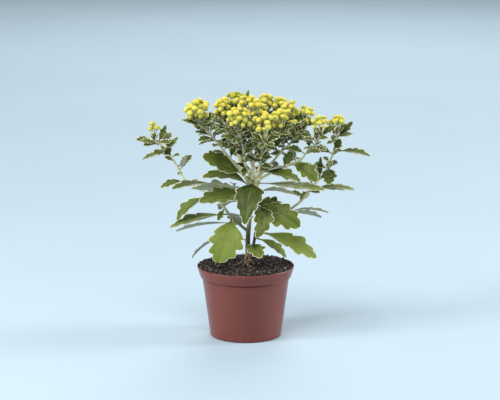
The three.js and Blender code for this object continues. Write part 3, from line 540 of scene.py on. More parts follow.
def all_heads(shoots, fullness):
    """The heads of every bunch by its name, eased apart until they hardly press on each other."""
    bunches = [bunch for shoot in shoots for bunch in shoot.bunches]
    groups = {bunch.name: bunch_heads(bunch) + low_heads(bunch) for bunch in bunches}
    heads = [head for group in groups.values() for head in group]
    strays = [[chance(i, draw) - 0.5 for draw in (19, 20, 21)] for i in range(len(heads))]
    start = np.array([head["spot"] for head in heads]) + HEAD_STRAY * np.array(strays)
    sizes = np.array([head["size"] for head in heads]) * fullness
    room = HEAD_PRESS * (sizes[:, None] + sizes[None, :])
    from_itself = FAR * np.eye(len(heads))
    spots = start.copy()
    for _ in range(EASING_STEPS):
        apart = spots[:, None, :] - spots[None, :, :]
        reach = np.linalg.norm(apart, axis=2) + from_itself
        push = np.clip(room - reach, 0, None) / reach
        spots += EASING_SHARE * (apart * push[:, :, None]).sum(axis=1)
        away = spots - start
        length = np.maximum(np.linalg.norm(away, axis=1), EASING_MOST)
        spots = start + away * (EASING_MOST / length)[:, None]
    for head, spot, size in zip(heads, spots, sizes):
        head["spot"] = spot
        head["size"] = size
    return groups


def side_buds(bunch, smaller):
    """Unopened buds that fill the room between the heads, a little inside them; their green is partly
    painted shade.
    """
    buds = []
    for i, head in enumerate(bunch_heads(bunch._replace(number=bunch.number + 1.7))):
        spot = bunch.at + (head["spot"] - bunch.at) * 0.66 - np.array([0, 0, 0.6])
        size = head["size"] * smaller * (0.8 + 0.35 * head_chance(bunch, i, 15))
        buds.append({"spot": spot, "size": size, "axis": head["axis"]})
    return buds


def soil_height(x, y):
    out = (x * x + y * y) / (RIM_RADIUS * RIM_RADIUS)
    lumps = 0.7 * np.sin(0.31 * x + 1.3) * np.cos(0.27 * y) + 0.5 * np.sin(0.53 * x - 0.41 * y + 2)
    return SOIL_EDGE + SOIL_MOUND * (1 - out) + lumps


def inner_radius(z):
    """Inner radius of the pot at a height."""
    shoulder = POT_HEIGHT - RIM_BAND
    waist = BODY_TOP_RADIUS - WALL
    if z > shoulder:
        return waist + (RIM_RADIUS - WALL - waist) * (z - shoulder) / RIM_BAND
    return FOOT_RADIUS - WALL + (waist - FOOT_RADIUS + WALL) * z / shoulder


# Meshes

def select_only(piece):
    """Selects one piece and nothing else."""
    bpy.ops.object.select_all(action="DESELECT")
    piece.select_set(True)
    bpy.context.view_layer.objects.active = piece


def primitive(name, add, **sizes):
    """Adds a primitive with an operator, alone in the selection, and names it and its mesh."""
    bpy.ops.object.select_all(action="DESELECT")
    add(**sizes)
    return named(name)


def named(name):
    """Names the active piece and its mesh."""
    piece = bpy.context.view_layer.objects.active
    piece.name = name
    piece.data.name = name
    return piece


def edit_all():
    """Enters edit mode with the whole mesh selected."""
    bpy.ops.object.mode_set(mode="EDIT")
    bpy.ops.mesh.select_all(action="SELECT")


def close_edit():
    """Turns all faces outward and leaves edit mode."""
    bpy.ops.mesh.select_all(action="SELECT")
    bpy.ops.mesh.normals_make_consistent(inside=False)
    bpy.ops.object.mode_set(mode="OBJECT")


def edit_chosen(kind, parts, test):
    """Enters edit mode with only those edges or faces selected that pass a test."""
    bpy.ops.object.mode_set(mode="EDIT")
    bpy.ops.mesh.select_mode(type=kind)
    bpy.ops.mesh.select_all(action="DESELECT")
    bpy.ops.object.mode_set(mode="OBJECT")
    for part in parts:
        part.select = test(part)
    bpy.ops.object.mode_set(mode="EDIT")


def vertex_places(piece):
    places = np.empty(len(piece.data.vertices) * 3)
    piece.data.vertices.foreach_get("co", places)
    return places.reshape(-1, 3)


def set_places(piece, places):
    piece.data.vertices.foreach_set("co", np.ascontiguousarray(places, dtype=float).ravel())
    piece.data.update()


def copy_of(model):
    """A copy of a model with a mesh of its own."""
    piece = model.copy()
    piece.data = model.data.copy()
    bpy.context.collection.objects.link(piece)
    return piece


def joined(pieces, name):
    """Joins pieces that have no place of their own into one."""
    select_only(pieces[0])
    for piece in pieces:
        piece.select_set(True)
    if len(pieces) > 1:
        bpy.ops.object.join()
    return named(name)


def discard(*pieces):
    for piece in pieces:
        bpy.data.objects.remove(piece, do_unlink=True)


def smooth(piece, degrees):
    """Smooth shading, with edges sharper than the angle kept."""
    select_only(piece)
    bpy.ops.object.shade_smooth_by_angle(angle=math.radians(degrees))


def tilted(axis):
    """The turn that points Z along an axis."""
    return Vector(axis).to_track_quat("Z", "Y").to_matrix().to_4x4()


def painted(piece, *materials):
    for material in materials:
        piece.data.materials.append(material)


def choose_material(piece, number, test):
    """Gives the faces that pass a test one of the piece's materials, and the others the first."""
    for face in piece.data.polygons:
        face.material_index = number if test(face) else 0


def hand_over(piece, slot, *nodes):
    """Makes a piece part of the plant and hides the nodes that it stands for. The slot is not used."""
    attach(piece, BODY)
    if nodes:
        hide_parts(*nodes)


# Materials

# The output that is read from a kind of node, where it isn't the first
READ_OUTPUTS = {"TexCoord": "Object", "Attribute": "Fac", "SeparateXYZ": "Z", "Mix": 2}


def linear(hex_colour):
    """Turns an sRGB hex colour to linear red, green, blue and alpha."""
    parts = [int(hex_colour[i:i + 2], 16) / 255 for i in (1, 3, 5)]
    return [part / 12.92 if part <= 0.04045 else ((part + 0.055) / 1.055) ** 2.4 for part in parts] + [1]


def shaded(hex_colour, share, dust=0):
    """A colour brightened or darkened by a share, under some pale dust."""
    return [part * share + dust for part in linear(hex_colour)[:3]] + [1]


def per_mm(length):
    """Texture scale at which a pattern's features are so many millimetres apart."""
    return 1 / (length * MM)


def set_up(tree, node, settings=None, links=None):
    """Settings are a node's properties or unlinked inputs, and links feed its inputs."""
    for key, value in (settings or {}).items():
        if isinstance(key, str) and hasattr(node, key):
            setattr(node, key, value)
        else:
            node.inputs[key].default_value = value
    for key, source in (links or {}).items():
        tree.links.new(source, node.inputs[key])


def add_node(tree, kind, settings=None, links=None):
    """Adds a node with its settings and links, and gives the output that is read from it."""
    node = tree.nodes.new("ShaderNode" + kind)
    set_up(tree, node, settings, links)
    return node.outputs[READ_OUTPUTS.get(kind, 0)]


def new_material(name):
    """An empty material and its node tree."""
    material = bpy.data.materials.new(name)
    material.use_nodes = True
    return material, material.node_tree


def finished(material, settings, links, relief=None, strength=0, depth=0):
    """Sets a material's shader, over a relief that is so many millimetres deep."""
    tree = material.node_tree
    if relief is not None:
        bump = {"Strength": strength, "Distance": depth * MM}
        links = {**links, "Normal": add_node(tree, "Bump", bump, {"Height": relief})}
    set_up(tree, tree.nodes["Principled BSDF"], settings, links)
    return material


def drifting(tree, where, pattern, span, dark, light):
    """A colour that drifts between two tones over a span of a noise pattern, and the noise itself."""
    cloud = add_node(tree, "TexNoise", pattern, {"Vector": where})
    share = add_node(tree, "MapRange", {"From Min": span[0], "From Max": span[1]}, {"Value": cloud})
    return add_node(tree, "Mix", {"data_type": "RGBA", 6: dark, 7: light}, {0: share}), cloud


def moulded_polypropylene(colour):
    """Injection-moulded polypropylene: an even satin skin, slightly clouded, with small scuffs."""
    material, tree = new_material("moulded_polypropylene")
    where = add_node(tree, "TexCoord")
    tone, _ = drifting(tree, where, {"Scale": per_mm(22), "Detail": 5}, (0, 1),
                       shaded(colour, 0.86), shaded(colour, 1.12))
    wear = add_node(tree, "TexNoise", {"Scale": per_mm(3.5), "Detail": 8, "Roughness": 0.7},
                    {"Vector": where})
    scuff = add_node(tree, "MapRange", {"From Min": 0.66, "From Max": 0.78}, {"Value": wear})
    coat = add_node(tree, "Mix", {"data_type": "RGBA", 7: shaded(colour, 0.7, 0.09)}, {0: scuff, 6: tone})
    grip = add_node(tree, "MapRange", {"To Min": 0.27, "To Max": 0.38}, {"Value": wear})
    skin = add_node(tree, "TexNoise", {"Scale": per_mm(0.9), "Detail": 3}, {"Vector": where})
    return finished(material, {"IOR": 1.49}, {"Base Color": coat, "Roughness": grip}, skin, 0.06, 0.1)


def peat(name, dark, light, grain):
    """Damp peat: near black with brown flecks, rough all over."""
    material, tree = new_material(name)
    pattern = {"Scale": per_mm(grain), "Detail": 8, "Roughness": 0.65}
    tone, fleck = drifting(tree, add_node(tree, "TexCoord"), pattern, (0.5, 0.68),
                           linear(dark), linear(light))
    return finished(material, {"Roughness": 0.93}, {"Base Color": tone}, fleck, 0.8, 0.5)


def bark():
    """Thin brown bark, split lengthwise and flaking, with paler wood in the splits."""
    material, tree = new_material("thin_brown_bark")
    drawn = add_node(tree, "Mapping", {"Scale": (1, 1, 0.25)}, {"Vector": add_node(tree, "TexCoord")})
    tone, split = drifting(tree, drawn, {"Scale": per_mm(1.6), "Detail": 6}, (0.35, 0.68),
                           linear("#3d2c23"), linear("#c4aa86"))
    return finished(material, {"Roughness": 0.85}, {"Base Color": tone}, split, 0.7, 0.5)


def downy_stem():
    """A young stem under silver down: brownish green low on the plant, pale grey-green above."""
    material, tree = new_material("downy_green_stem")
    where = add_node(tree, "TexCoord")
    rise = add_node(tree, "MapRange", {"From Min": 125 * MM, "From Max": 175 * MM},
                    {"Value": add_node(tree, "SeparateXYZ", {}, {0: where})})
    drawn = add_node(tree, "Mapping", {"Scale": (1, 1, 0.2)}, {"Vector": where})
    streaks = {"Scale": per_mm(1.2), "Detail": 5}
    low, _ = drifting(tree, drawn, streaks, (0, 1), linear("#3f2e23"), linear("#6c5a42"))
    high, streak = drifting(tree, drawn, streaks, (0, 1), linear("#aeac6e"), linear("#f0e9be"))
    tone = add_node(tree, "Mix", {"data_type": "RGBA"}, {0: rise, 6: low, 7: high})
    return finished(material, {"Roughness": 0.75, "Sheen Weight": 0.2}, {"Base Color": tone},
                    streak, 0.4, 0.3)


def leaf_upper(young, old, silver, margin):
    """The upper face: leathery green, paler with age and darker as painted shade, faint veins, a thin
    silvery edge.
    """
    material, tree = new_material("leathery_green_leaf")
    flat = add_node(tree, "UVMap", {"uv_map": "blade"})
    edge, vein, tone_with_shade = [add_node(tree, "Attribute", {"attribute_name": name})
                         for name in ("edge_mm", "vein", "tone")]
    drawn = add_node(tree, "Mapping", {"Scale": (0.5, 1.3, 1)}, {"Vector": flat})
    cloud = add_node(tree, "TexNoise", {"Scale": 1 / 7, "Detail": 6, "Roughness": 0.66}, {"Vector": drawn})
    drift = add_node(tree, "MapRange", {"From Min": 0.3, "From Max": 0.7, "To Min": -0.34, "To Max": 0.34},
                     {"Value": cloud})
    # The mix share is age together with painted shade, which darkens leaves inside the plant and near the
    # stalk
    age_and_shade = add_node(tree, "Math", {"operation": "ADD", "use_clamp": True}, {0: drift, 1: tone_with_shade})
    ground = add_node(tree, "Mix", {"data_type": "RGBA", 6: linear(young), 7: linear(old)}, {0: age_and_shade})
    line = add_node(tree, "MapRange", {"From Min": 0.55, "From Max": 1, "To Max": 0.13}, {"Value": vein})
    veined = add_node(tree, "Mix", {"data_type": "RGBA", 7: linear("#9dab6f")}, {0: line, 6: ground})
    ragged = add_node(tree, "TexNoise", {"Scale": 1 / 1.6, "Detail": 3}, {"Vector": flat})
    reach = add_node(tree, "Math", {"operation": "MULTIPLY_ADD", 1: 0.6}, {0: ragged, 2: edge})
    rim = add_node(tree, "MapRange",
                   {"From Min": margin + 0.15, "From Max": margin + 0.45, "To Min": 1, "To Max": 0},
                   {"Value": reach})
    whole = add_node(tree, "Mix", {"data_type": "RGBA", 7: linear(silver)}, {0: rim, 6: veined})
    net = add_node(tree, "TexVoronoi", {"feature": "DISTANCE_TO_EDGE", "Scale": 1 / 2.4}, {"Vector": flat})
    pillow = add_node(tree, "MapRange", {"From Max": 0.3}, {"Value": net})
    return finished(material, {"Roughness": 0.48, "Specular IOR Level": 0.25}, {"Base Color": whole},
                    pillow, 0.25, 0.2)


def leaf_under(silver):
    """The underside: flat silver-white felt of fine hairs, which gives a soft dull sheen."""
    material, tree = new_material("silver_leaf_felt")
    flat = add_node(tree, "UVMap", {"uv_map": "blade"})
    vein = add_node(tree, "Attribute", {"attribute_name": "vein"})
    tone, felt = drifting(tree, flat, {"Scale": 1 / 1.1, "Detail": 6}, (0, 1), shaded(silver, 0.6),
                          linear(silver))
    line = add_node(tree, "MapRange", {"From Min": 0.4, "To Max": 0.5}, {"Value": vein})
    whole = add_node(tree, "Mix", {"data_type": "RGBA", 7: linear("#a8b18c")}, {0: line, 6: tone})
    return finished(material, {"Roughness": 0.9, "Sheen Weight": 0.5}, {"Base Color": whole}, felt, 0.3, 0.2)


def mottled(name, dark, light, grain, roughness):
    """A soft plant surface whose colour drifts between two tones."""
    material, tree = new_material(name)
    tone, _ = drifting(tree, add_node(tree, "TexCoord"), {"Scale": per_mm(grain), "Detail": 4},
                       (0.3, 0.7), linear(dark), linear(light))
    return finished(material, {"Roughness": roughness}, {"Base Color": tone})


def florets(name, rim, crown, deep):
    """Tight florets of a head: darker and greenish at its rim as painted shade, warmer towards its crown."""
    material, tree = new_material(name)
    warm, _ = drifting(tree, add_node(tree, "TexCoord"), {"Scale": per_mm(7), "Detail": 3},
                       (0.42, 0.68), linear(crown), linear(deep))
    # Florets low on the head keep the darker rim colour as painted shade; those near the crown take the warm
    # one
    ripe = add_node(tree, "MapRange", {"From Min": 0.05, "From Max": 0.6},
                    {"Value": add_node(tree, "Attribute", {"attribute_name": "crown"})})
    tone = add_node(tree, "Mix", {"data_type": "RGBA", 6: linear(rim)}, {0: ripe, 7: warm})
    return finished(material, {"Roughness": 0.55, "Sheen Weight": 0.2}, {"Base Color": tone})


# Pot

def ring_profile(rim_round):
    """Outline of the pot's wall from the foot up the outside, over the rim and down the inside."""
    shoulder = POT_HEIGHT - RIM_BAND
    profile = []
    for step in range(6):
        turn = math.pi / 2 * step / 5
        profile.append([FOOT_RADIUS + FOOT_ROUND * (math.sin(turn) - 1), FOOT_ROUND * (1 - math.cos(turn))])
    for share in (0.25, 0.5, 0.75):
        profile.append([FOOT_RADIUS + (BODY_TOP_RADIUS - FOOT_RADIUS) * share,
                        FOOT_ROUND + (shoulder - 3) * share])
    ledge = shoulder - LEDGE_DROP
    profile += [[BODY_TOP_RADIUS - 0.2, ledge - 1.7], [BODY_TOP_RADIUS - 0.6, ledge - 1.3]]
    profile += [[BODY_TOP_RADIUS - 0.8, ledge - 0.5], [BODY_TOP_RADIUS - 0.6, ledge - 0.1]]
    profile += [[RIM_FOOT_RADIUS - 1, ledge], [RIM_FOOT_RADIUS - 0.6, ledge + 0.3]]
    profile += [[RIM_FOOT_RADIUS - 0.4, ledge + 0.8], [RIM_RADIUS - 1.0, POT_HEIGHT - 4]]
    for step in range(7):
        turn = math.pi * step / 6
        profile.append([RIM_RADIUS - rim_round + rim_round * math.cos(turn),
                        POT_HEIGHT - rim_round + rim_round * math.sin(turn)])
    profile += [[RIM_RADIUS - WALL - 0.1, POT_HEIGHT - 2], [inner_radius(shoulder) + 0.4, shoulder + 0.5]]
    profile += [[inner_radius(shoulder), shoulder - 0.4], [inner_radius(FLOOR + 2), FLOOR + 2]]
    profile += [[inner_radius(FLOOR) - 1.5, FLOOR]]
    return profile


def turned_wall(profile, sides, name):
    """Extrudes a ring up a profile and closes both ends."""
    radius, height = profile[0]
    piece = primitive(name, bpy.ops.mesh.primitive_circle_add, vertices=sides, radius=radius * MM,
                      fill_type="NGON", location=(0, 0, height * MM))
    bpy.ops.object.transform_apply(location=True)
    edit_all()
    bpy.ops.mesh.select_mode(type="EDGE")
    for (last, low), (radius, height) in zip(profile, profile[1:]):
        bpy.ops.mesh.extrude_edges_move(TRANSFORM_OT_translate={"value": (0, 0, (height - low) * MM)})
        bpy.ops.transform.resize(value=(radius / last, radius / last, 1), center_override=(0, 0, 0))
    bpy.ops.mesh.edge_face_add()
    close_edit()
    return piece


def cut_drain_holes(pot):
    for hole in range(DRAIN_HOLES):
        turn = 2 * math.pi * (hole + 0.5) / DRAIN_HOLES
        place = (DRAIN_CIRCLE * math.cos(turn) * MM, DRAIN_CIRCLE * math.sin(turn) * MM, 0)
        drill = primitive("drain_drill", bpy.ops.mesh.primitive_cylinder_add, vertices=24,
                          radius=DRAIN_RADIUS * MM, depth=8 * MM, location=place)
        cut = pot.modifiers.new("drain", "BOOLEAN")
        cut.operation = "DIFFERENCE"
        cut.solver = "EXACT"
        cut.object = drill
        select_only(pot)
        bpy.ops.object.modifier_apply(modifier=cut.name)
        discard(drill)


class PLANT_OT_pot(bpy.types.Operator):
    """Turns the plastic pot and drills its drain holes."""
    bl_idname = "plant.pot"
    bl_label = "Make the pot"

    def execute(self, context):
        settings = context.scene.plant_pot
        pot = turned_wall(ring_profile(settings.rim_round / MM), settings.sides, "plastic_pot")
        cut_drain_holes(pot)
        painted(pot, moulded_polypropylene(settings.plastic))
        smooth(pot, 40)
        hand_over(pot, "pot_plastic", "pot")
        return {"FINISHED"}


# Soil

def soil_body(cells):
    """A grid shaped to a disc, extruded up from the pot's floor past its shoulder to the top."""
    soil = primitive("peat_soil", bpy.ops.mesh.primitive_grid_add, x_subdivisions=cells,
                     y_subdivisions=cells, size=2)
    edit_all()
    for _ in range(2):
        bpy.ops.mesh.extrude_region_move(TRANSFORM_OT_translate={"value": (0, 0, 1)})
    close_edit()
    places = vertex_places(soil)
    side = places[:, 0] * np.sqrt(1 - places[:, 1] ** 2 / 2)
    back = places[:, 1] * np.sqrt(1 - places[:, 0] ** 2 / 2)
    layer = np.rint(places[:, 2]).astype(int)
    rims = [FLOOR + GAP, POT_HEIGHT - RIM_BAND - 2, SOIL_EDGE]
    radius = np.array([inner_radius(rim) - 2 * GAP for rim in rims])[layer]
    x = side * radius
    y = back * radius
    z = np.where(layer == 2, soil_height(x, y), np.array(rims)[layer])
    out = np.hypot(side, back)
    for i in np.nonzero((layer == 2) & (out < 0.995))[0]:
        spot = Vector((x[i], y[i], 0))
        lumps = noise.fractal(spot / 5, 1, 2, 4) * 1.5 + noise.noise(spot / 1.7)
        z[i] += lumps - 0.4
    set_places(soil, np.stack([x, y, z], axis=1) * MM)
    return soil


def crumb_model(number):
    """A rough lump of peat, about a unit across."""
    crumb = primitive("crumb_model", bpy.ops.mesh.primitive_uv_sphere_add, segments=7, ring_count=5,
                      radius=1)
    places = vertex_places(crumb)
    for i, place in enumerate(places):
        spot = Vector(place) * 1.3 + Vector((number * 7.3, 0, 0))
        places[i] = place * (1 + 0.45 * noise.noise(spot) + 0.2 * noise.noise(spot * 3))
    set_places(crumb, places)
    return crumb


def scatter_crumbs(count, largest):
    """Crumbs half sunk in the soil, crowded unevenly, with a few lying on the pot's rim."""
    models = [crumb_model(number) for number in range(5)]
    crumbs = []
    for i in range(count):
        turn = i * GOLDEN_ANGLE
        out = math.sqrt((i + 0.5) / count) * (RIM_RADIUS - WALL)
        x = out * math.cos(turn) + CRUMB_STRAY * (chance(i, 21) - 0.5)
        y = out * math.sin(turn) + CRUMB_STRAY * (chance(i, 22) - 0.5)
        size = largest / MM * (0.35 + 0.65 * chance(i, 23) ** 2)
        z = float(soil_height(x, y)) + size * 0.25
        if math.hypot(x, y) + size > inner_radius(SOIL_EDGE) - GAP:
            heaped = y > 0 or x > 30
            if chance(i, 27) > (HEAPED_SHARE if heaped else BARE_SHARE):
                continue
            size = min(size, RIM_CRUMB)
            z = POT_HEIGHT + 0.7 * size
        crumb = copy_of(models[i % len(models)])
        turned = Matrix.Rotation(chance(i, 24) * 6, 4, "X") @ Matrix.Rotation(chance(i, 25) * 6, 4, "Y")
        grown = Matrix.Diagonal((size, size * (0.7 + 0.5 * chance(i, 26)), size * 0.8, 1))
        crumb.data.transform(Matrix.Scale(MM, 4) @ Matrix.Translation((x, y, z)) @ grown @ turned)
        crumbs.append(crumb)
    whole = joined(crumbs, "peat_crumbs")
    discard(*models)
    return whole


def rod_model(sides, steps):
    """A straight rod of unit radius and length, cut into steps, to be bent along a route."""
    rod = primitive("rod_model", bpy.ops.mesh.primitive_cylinder_add, vertices=sides, radius=1, depth=1,
                    end_fill_type="NGON", location=(0, 0, 0.5))
    bpy.ops.object.transform_apply(location=True)
    corners = rod.data.vertices
    edit_chosen("EDGE", rod.data.edges,
                lambda edge: abs(corners[edge.vertices[0]].co.z - corners[edge.vertices[1]].co.z) > 0.5)
    bpy.ops.mesh.subdivide(number_cuts=steps - 1)
    bpy.ops.object.mode_set(mode="OBJECT")
    rod["steps"] = steps
    return rod


def spaced(points, steps):
    """Places at equal steps along the smooth curve through the points."""
    last = len(points) - 1
    dense = np.array([curve_point(points, place) for place in np.linspace(0, last, 16 * last + 1)])
    lengths = np.concatenate([[0], np.cumsum(np.linalg.norm(np.diff(dense, axis=0), axis=1))])
    wanted = np.linspace(0, lengths[-1], steps + 1)
    return np.stack([np.interp(wanted, lengths, dense[:, axis]) for axis in range(3)], axis=1)


def bent_rod(model, points, radii, rib=0.0):
    """A copy of a rod, bent along the points, with a radius at each equal part of its length."""
    rod = copy_of(model)
    steps = model["steps"]
    middles = spaced([np.array(point, dtype=float) for point in points], steps)
    tangents = np.gradient(middles, axis=0)
    tangents /= np.linalg.norm(tangents, axis=1)[:, None]
    side = np.cross(tangents[0], [0.3, 0.9, 0.2])
    sides = []
    for tangent in tangents:
        side = unit(side - tangent * np.dot(side, tangent))
        sides.append(side)
    sides = np.array(sides)
    others = np.cross(tangents, sides)
    places = vertex_places(rod)
    step = np.rint(places[:, 2] * steps).astype(int)
    radius = np.interp(places[:, 2], np.linspace(0, 1, len(radii)), radii)
    radius = radius * (1 + rib * np.cos(5 * np.arctan2(places[:, 1], places[:, 0])))
    x = (places[:, 0] * radius)[:, None]
    y = (places[:, 1] * radius)[:, None]
    set_places(rod, (middles[step] + x * sides[step] + y * others[step]) * MM)
    return rod


def scatter_fibres(count):
    """Short bent peat fibres, lying on the soil."""
    model = rod_model(5, 5)
    fibres = []
    for i in range(count):
        turn = i * GOLDEN_ANGLE * 1.7
        out = math.sqrt((i + 0.5) / count) * (inner_radius(SOIL_EDGE) - 9)
        heading = chance(i, 31) * 2 * math.pi
        length = 4 + 9 * chance(i, 32)
        points = []
        for k in range(4):
            along = (k / 3 - 0.5) * length
            veer = heading + 0.8 * (chance(i * 5 + k, 33) - 0.5)
            x = out * math.cos(turn) + along * math.cos(veer)
            y = out * math.sin(turn) + along * math.sin(veer)
            lift = 0.9 + 1.6 * chance(i * 5 + k, 34) * (k == 3)
            points.append([x, y, float(soil_height(x, y)) + lift])
        thick = 0.18 + 0.22 * chance(i, 35)
        fibres.append(bent_rod(model, points, [thick, thick, thick * 0.5]))
    whole = joined(fibres, "peat_fibres")
    discard(model)
    return whole


class PLANT_OT_soil(bpy.types.Operator):
    """Fills the pot with crumbly peat, loose crumbs and fibres."""
    bl_idname = "plant.soil"
    bl_label = "Make the soil"

    def execute(self, context):
        settings = context.scene.plant_soil
        soil = soil_body(SOIL_CELLS)
        painted(soil, peat("damp_peat", settings.peat, "#4d403a", 2.4))
        smooth(soil, 60)
        hand_over(soil, "potting_soil", "soil")
        crumbs = scatter_crumbs(settings.crumbs, settings.crumb_size)
        painted(crumbs, peat("peat_crumb", "#120f0e", "#9c8c80", 3.6))
        hand_over(crumbs, "potting_soil")
        fibres = scatter_fibres(settings.fibres)
        painted(fibres, peat("peat_fibre", "#5f4432", "#a07a58", 3))
        hand_over(fibres, "potting_soil")
        return {"FINISHED"}


# Foot of the plant

def rootlet_points(turn, reach, rise):
    """A rootlet's way from the foot down to the soil and out over it."""
    angle = math.radians(turn)
    points = []
    for i, along in enumerate((0.05, 0.4, 0.75, 1)):
        veer = angle + 0.25 * math.sin(4 * along + turn)
        x = 1.5 + reach * along * math.cos(veer)
        y = reach * along * math.sin(veer)
        rest = float(soil_height(x, y)) + ROOTLET_RADIUS + ROOTLET_LIFT * (1 - along)
        points.append([x, y, rise if i == 0 else max(rest, rise - (rise - rest) * along * 1.4)])
    return points


class PLANT_OT_foot(bpy.types.Operator):
    """Makes the woody foot of the plant and the rootlets that spread from it."""
    bl_idname = "plant.foot"
    bl_label = "Make the foot"

    def execute(self, context):
        thick = rod_model(14, 14)
        thin = rod_model(7, 12)
        flare = [FOOT_RADII[0] * 1.1, FOOT_RADII[0], FOOT_RADII[1] * 0.97, FOOT_RADII[1] * 0.94]
        parts = [
            bent_rod(thick, FOOT_ROUTE, flare, 0.05),
            bent_rod(thick, SIDE_FOOT_ROUTE, [radius * 0.95 for radius in SIDE_FOOT_RADII], 0.04),
        ]
        for rootlet in ROOTLETS:
            parts.append(bent_rod(thin, rootlet_points(**rootlet), ROOTLET_RADII))
        foot = joined(parts, "woody_foot")
        painted(foot, bark())
        smooth(foot, 50)
        hand_over(foot, "woody_stem", "plant_foot")
        discard(thick, thin)
        return {"FINISHED"}


# Leaves

def blade_stations(form, steps):
    """Stations along half a blade: place on the rib, place and width of the edge, and lobe tips.

    Steps says how many stations the foot, the first lobe, each later lobe and the tip take.
    """
    record = LEAF_FORMS[form]
    foot_steps, first_steps, lobe_steps, tip_steps = steps
    base = np.array(record["base"])
    spots = [np.array([base[0] * share, record["foot"] + (base[1] - record["foot"]) * share])
             for share in np.linspace(0, 1, foot_steps + 1)]
    tips = []
    start = base
    for number, (tip, notch) in enumerate(record["lobes"]):
        tip, notch = np.array(tip), np.array(notch)
        count = first_steps if number == 0 else lobe_steps
        tips.append(len(spots) - 1 + count // 2)
        for step in range(1, count + 1):
            share = step / count
            bulge = math.sin(math.pi * share ** 1.3) ** 0.85
            spots.append(start + (notch - start) * share + (tip - (start + notch) / 2) * bulge)
        start = notch
    for step in range(1, tip_steps + 1):
        turn = math.pi / 2 * step / tip_steps
        forward = start[0] + (1 - start[0]) * math.sin(turn) ** 0.8
        spots.append(np.array([forward, start[1] * math.cos(turn) ** 1.1]))
    spots[-1] = np.array([1.0, 0.0])
    edge = np.array(spots)
    lag = np.where(edge[:, 0] > base[0] * 0.9, 0.3, 0.0)
    rib = np.maximum.accumulate(edge[:, 0] - lag * edge[:, 1])
    return rib, edge[:, 0], edge[:, 1], tips


def flat_blade(form, rows, steps):
    """A closed flat slab: x counts stations, y runs from -1 to 1 across and z is 0 or 1."""
    stations = len(blade_stations(form, steps)[0]) - 1
    blade = primitive("flat_" + form, bpy.ops.mesh.primitive_grid_add, x_subdivisions=stations,
                      y_subdivisions=2 * rows, size=2)
    edit_all()
    bpy.ops.mesh.extrude_region_move(TRANSFORM_OT_translate={"value": (0, 0, 1)})
    bpy.ops.object.mode_set(mode="OBJECT")
    places = vertex_places(blade)
    places[:, 0] = np.rint((places[:, 0] + 1) / 2 * stations)
    places[:, 1] = np.rint(places[:, 1] * rows) / rows
    places[places[:, 0] == stations, 1] = 0
    set_places(blade, places)
    edit_all()
    bpy.ops.mesh.remove_doubles(threshold=0.001)
    close_edit()
    for name in ("edge_mm", "vein", "tone"):
        blade.data.attributes.new(name, "FLOAT", "POINT")
    for layer in list(blade.data.uv_layers):
        blade.data.uv_layers.remove(layer)
    blade.data.uv_layers.new(name="blade")
    choose_material(blade, 1, lambda face: face.normal.z <= 0.5)
    blade["steps"] = steps
    return blade


def blade_frame(leaf):
    """The blade's length and own directions: along it, out of its upper face and across it."""
    length = np.linalg.norm(leaf.tip - leaf.base)
    along = (leaf.tip - leaf.base) / length
    face = np.array([leaf.lean[0], leaf.lean[1], 1.0])
    face = unit(face - along * np.dot(face, along))
    return length, along, face, np.cross(along, face)


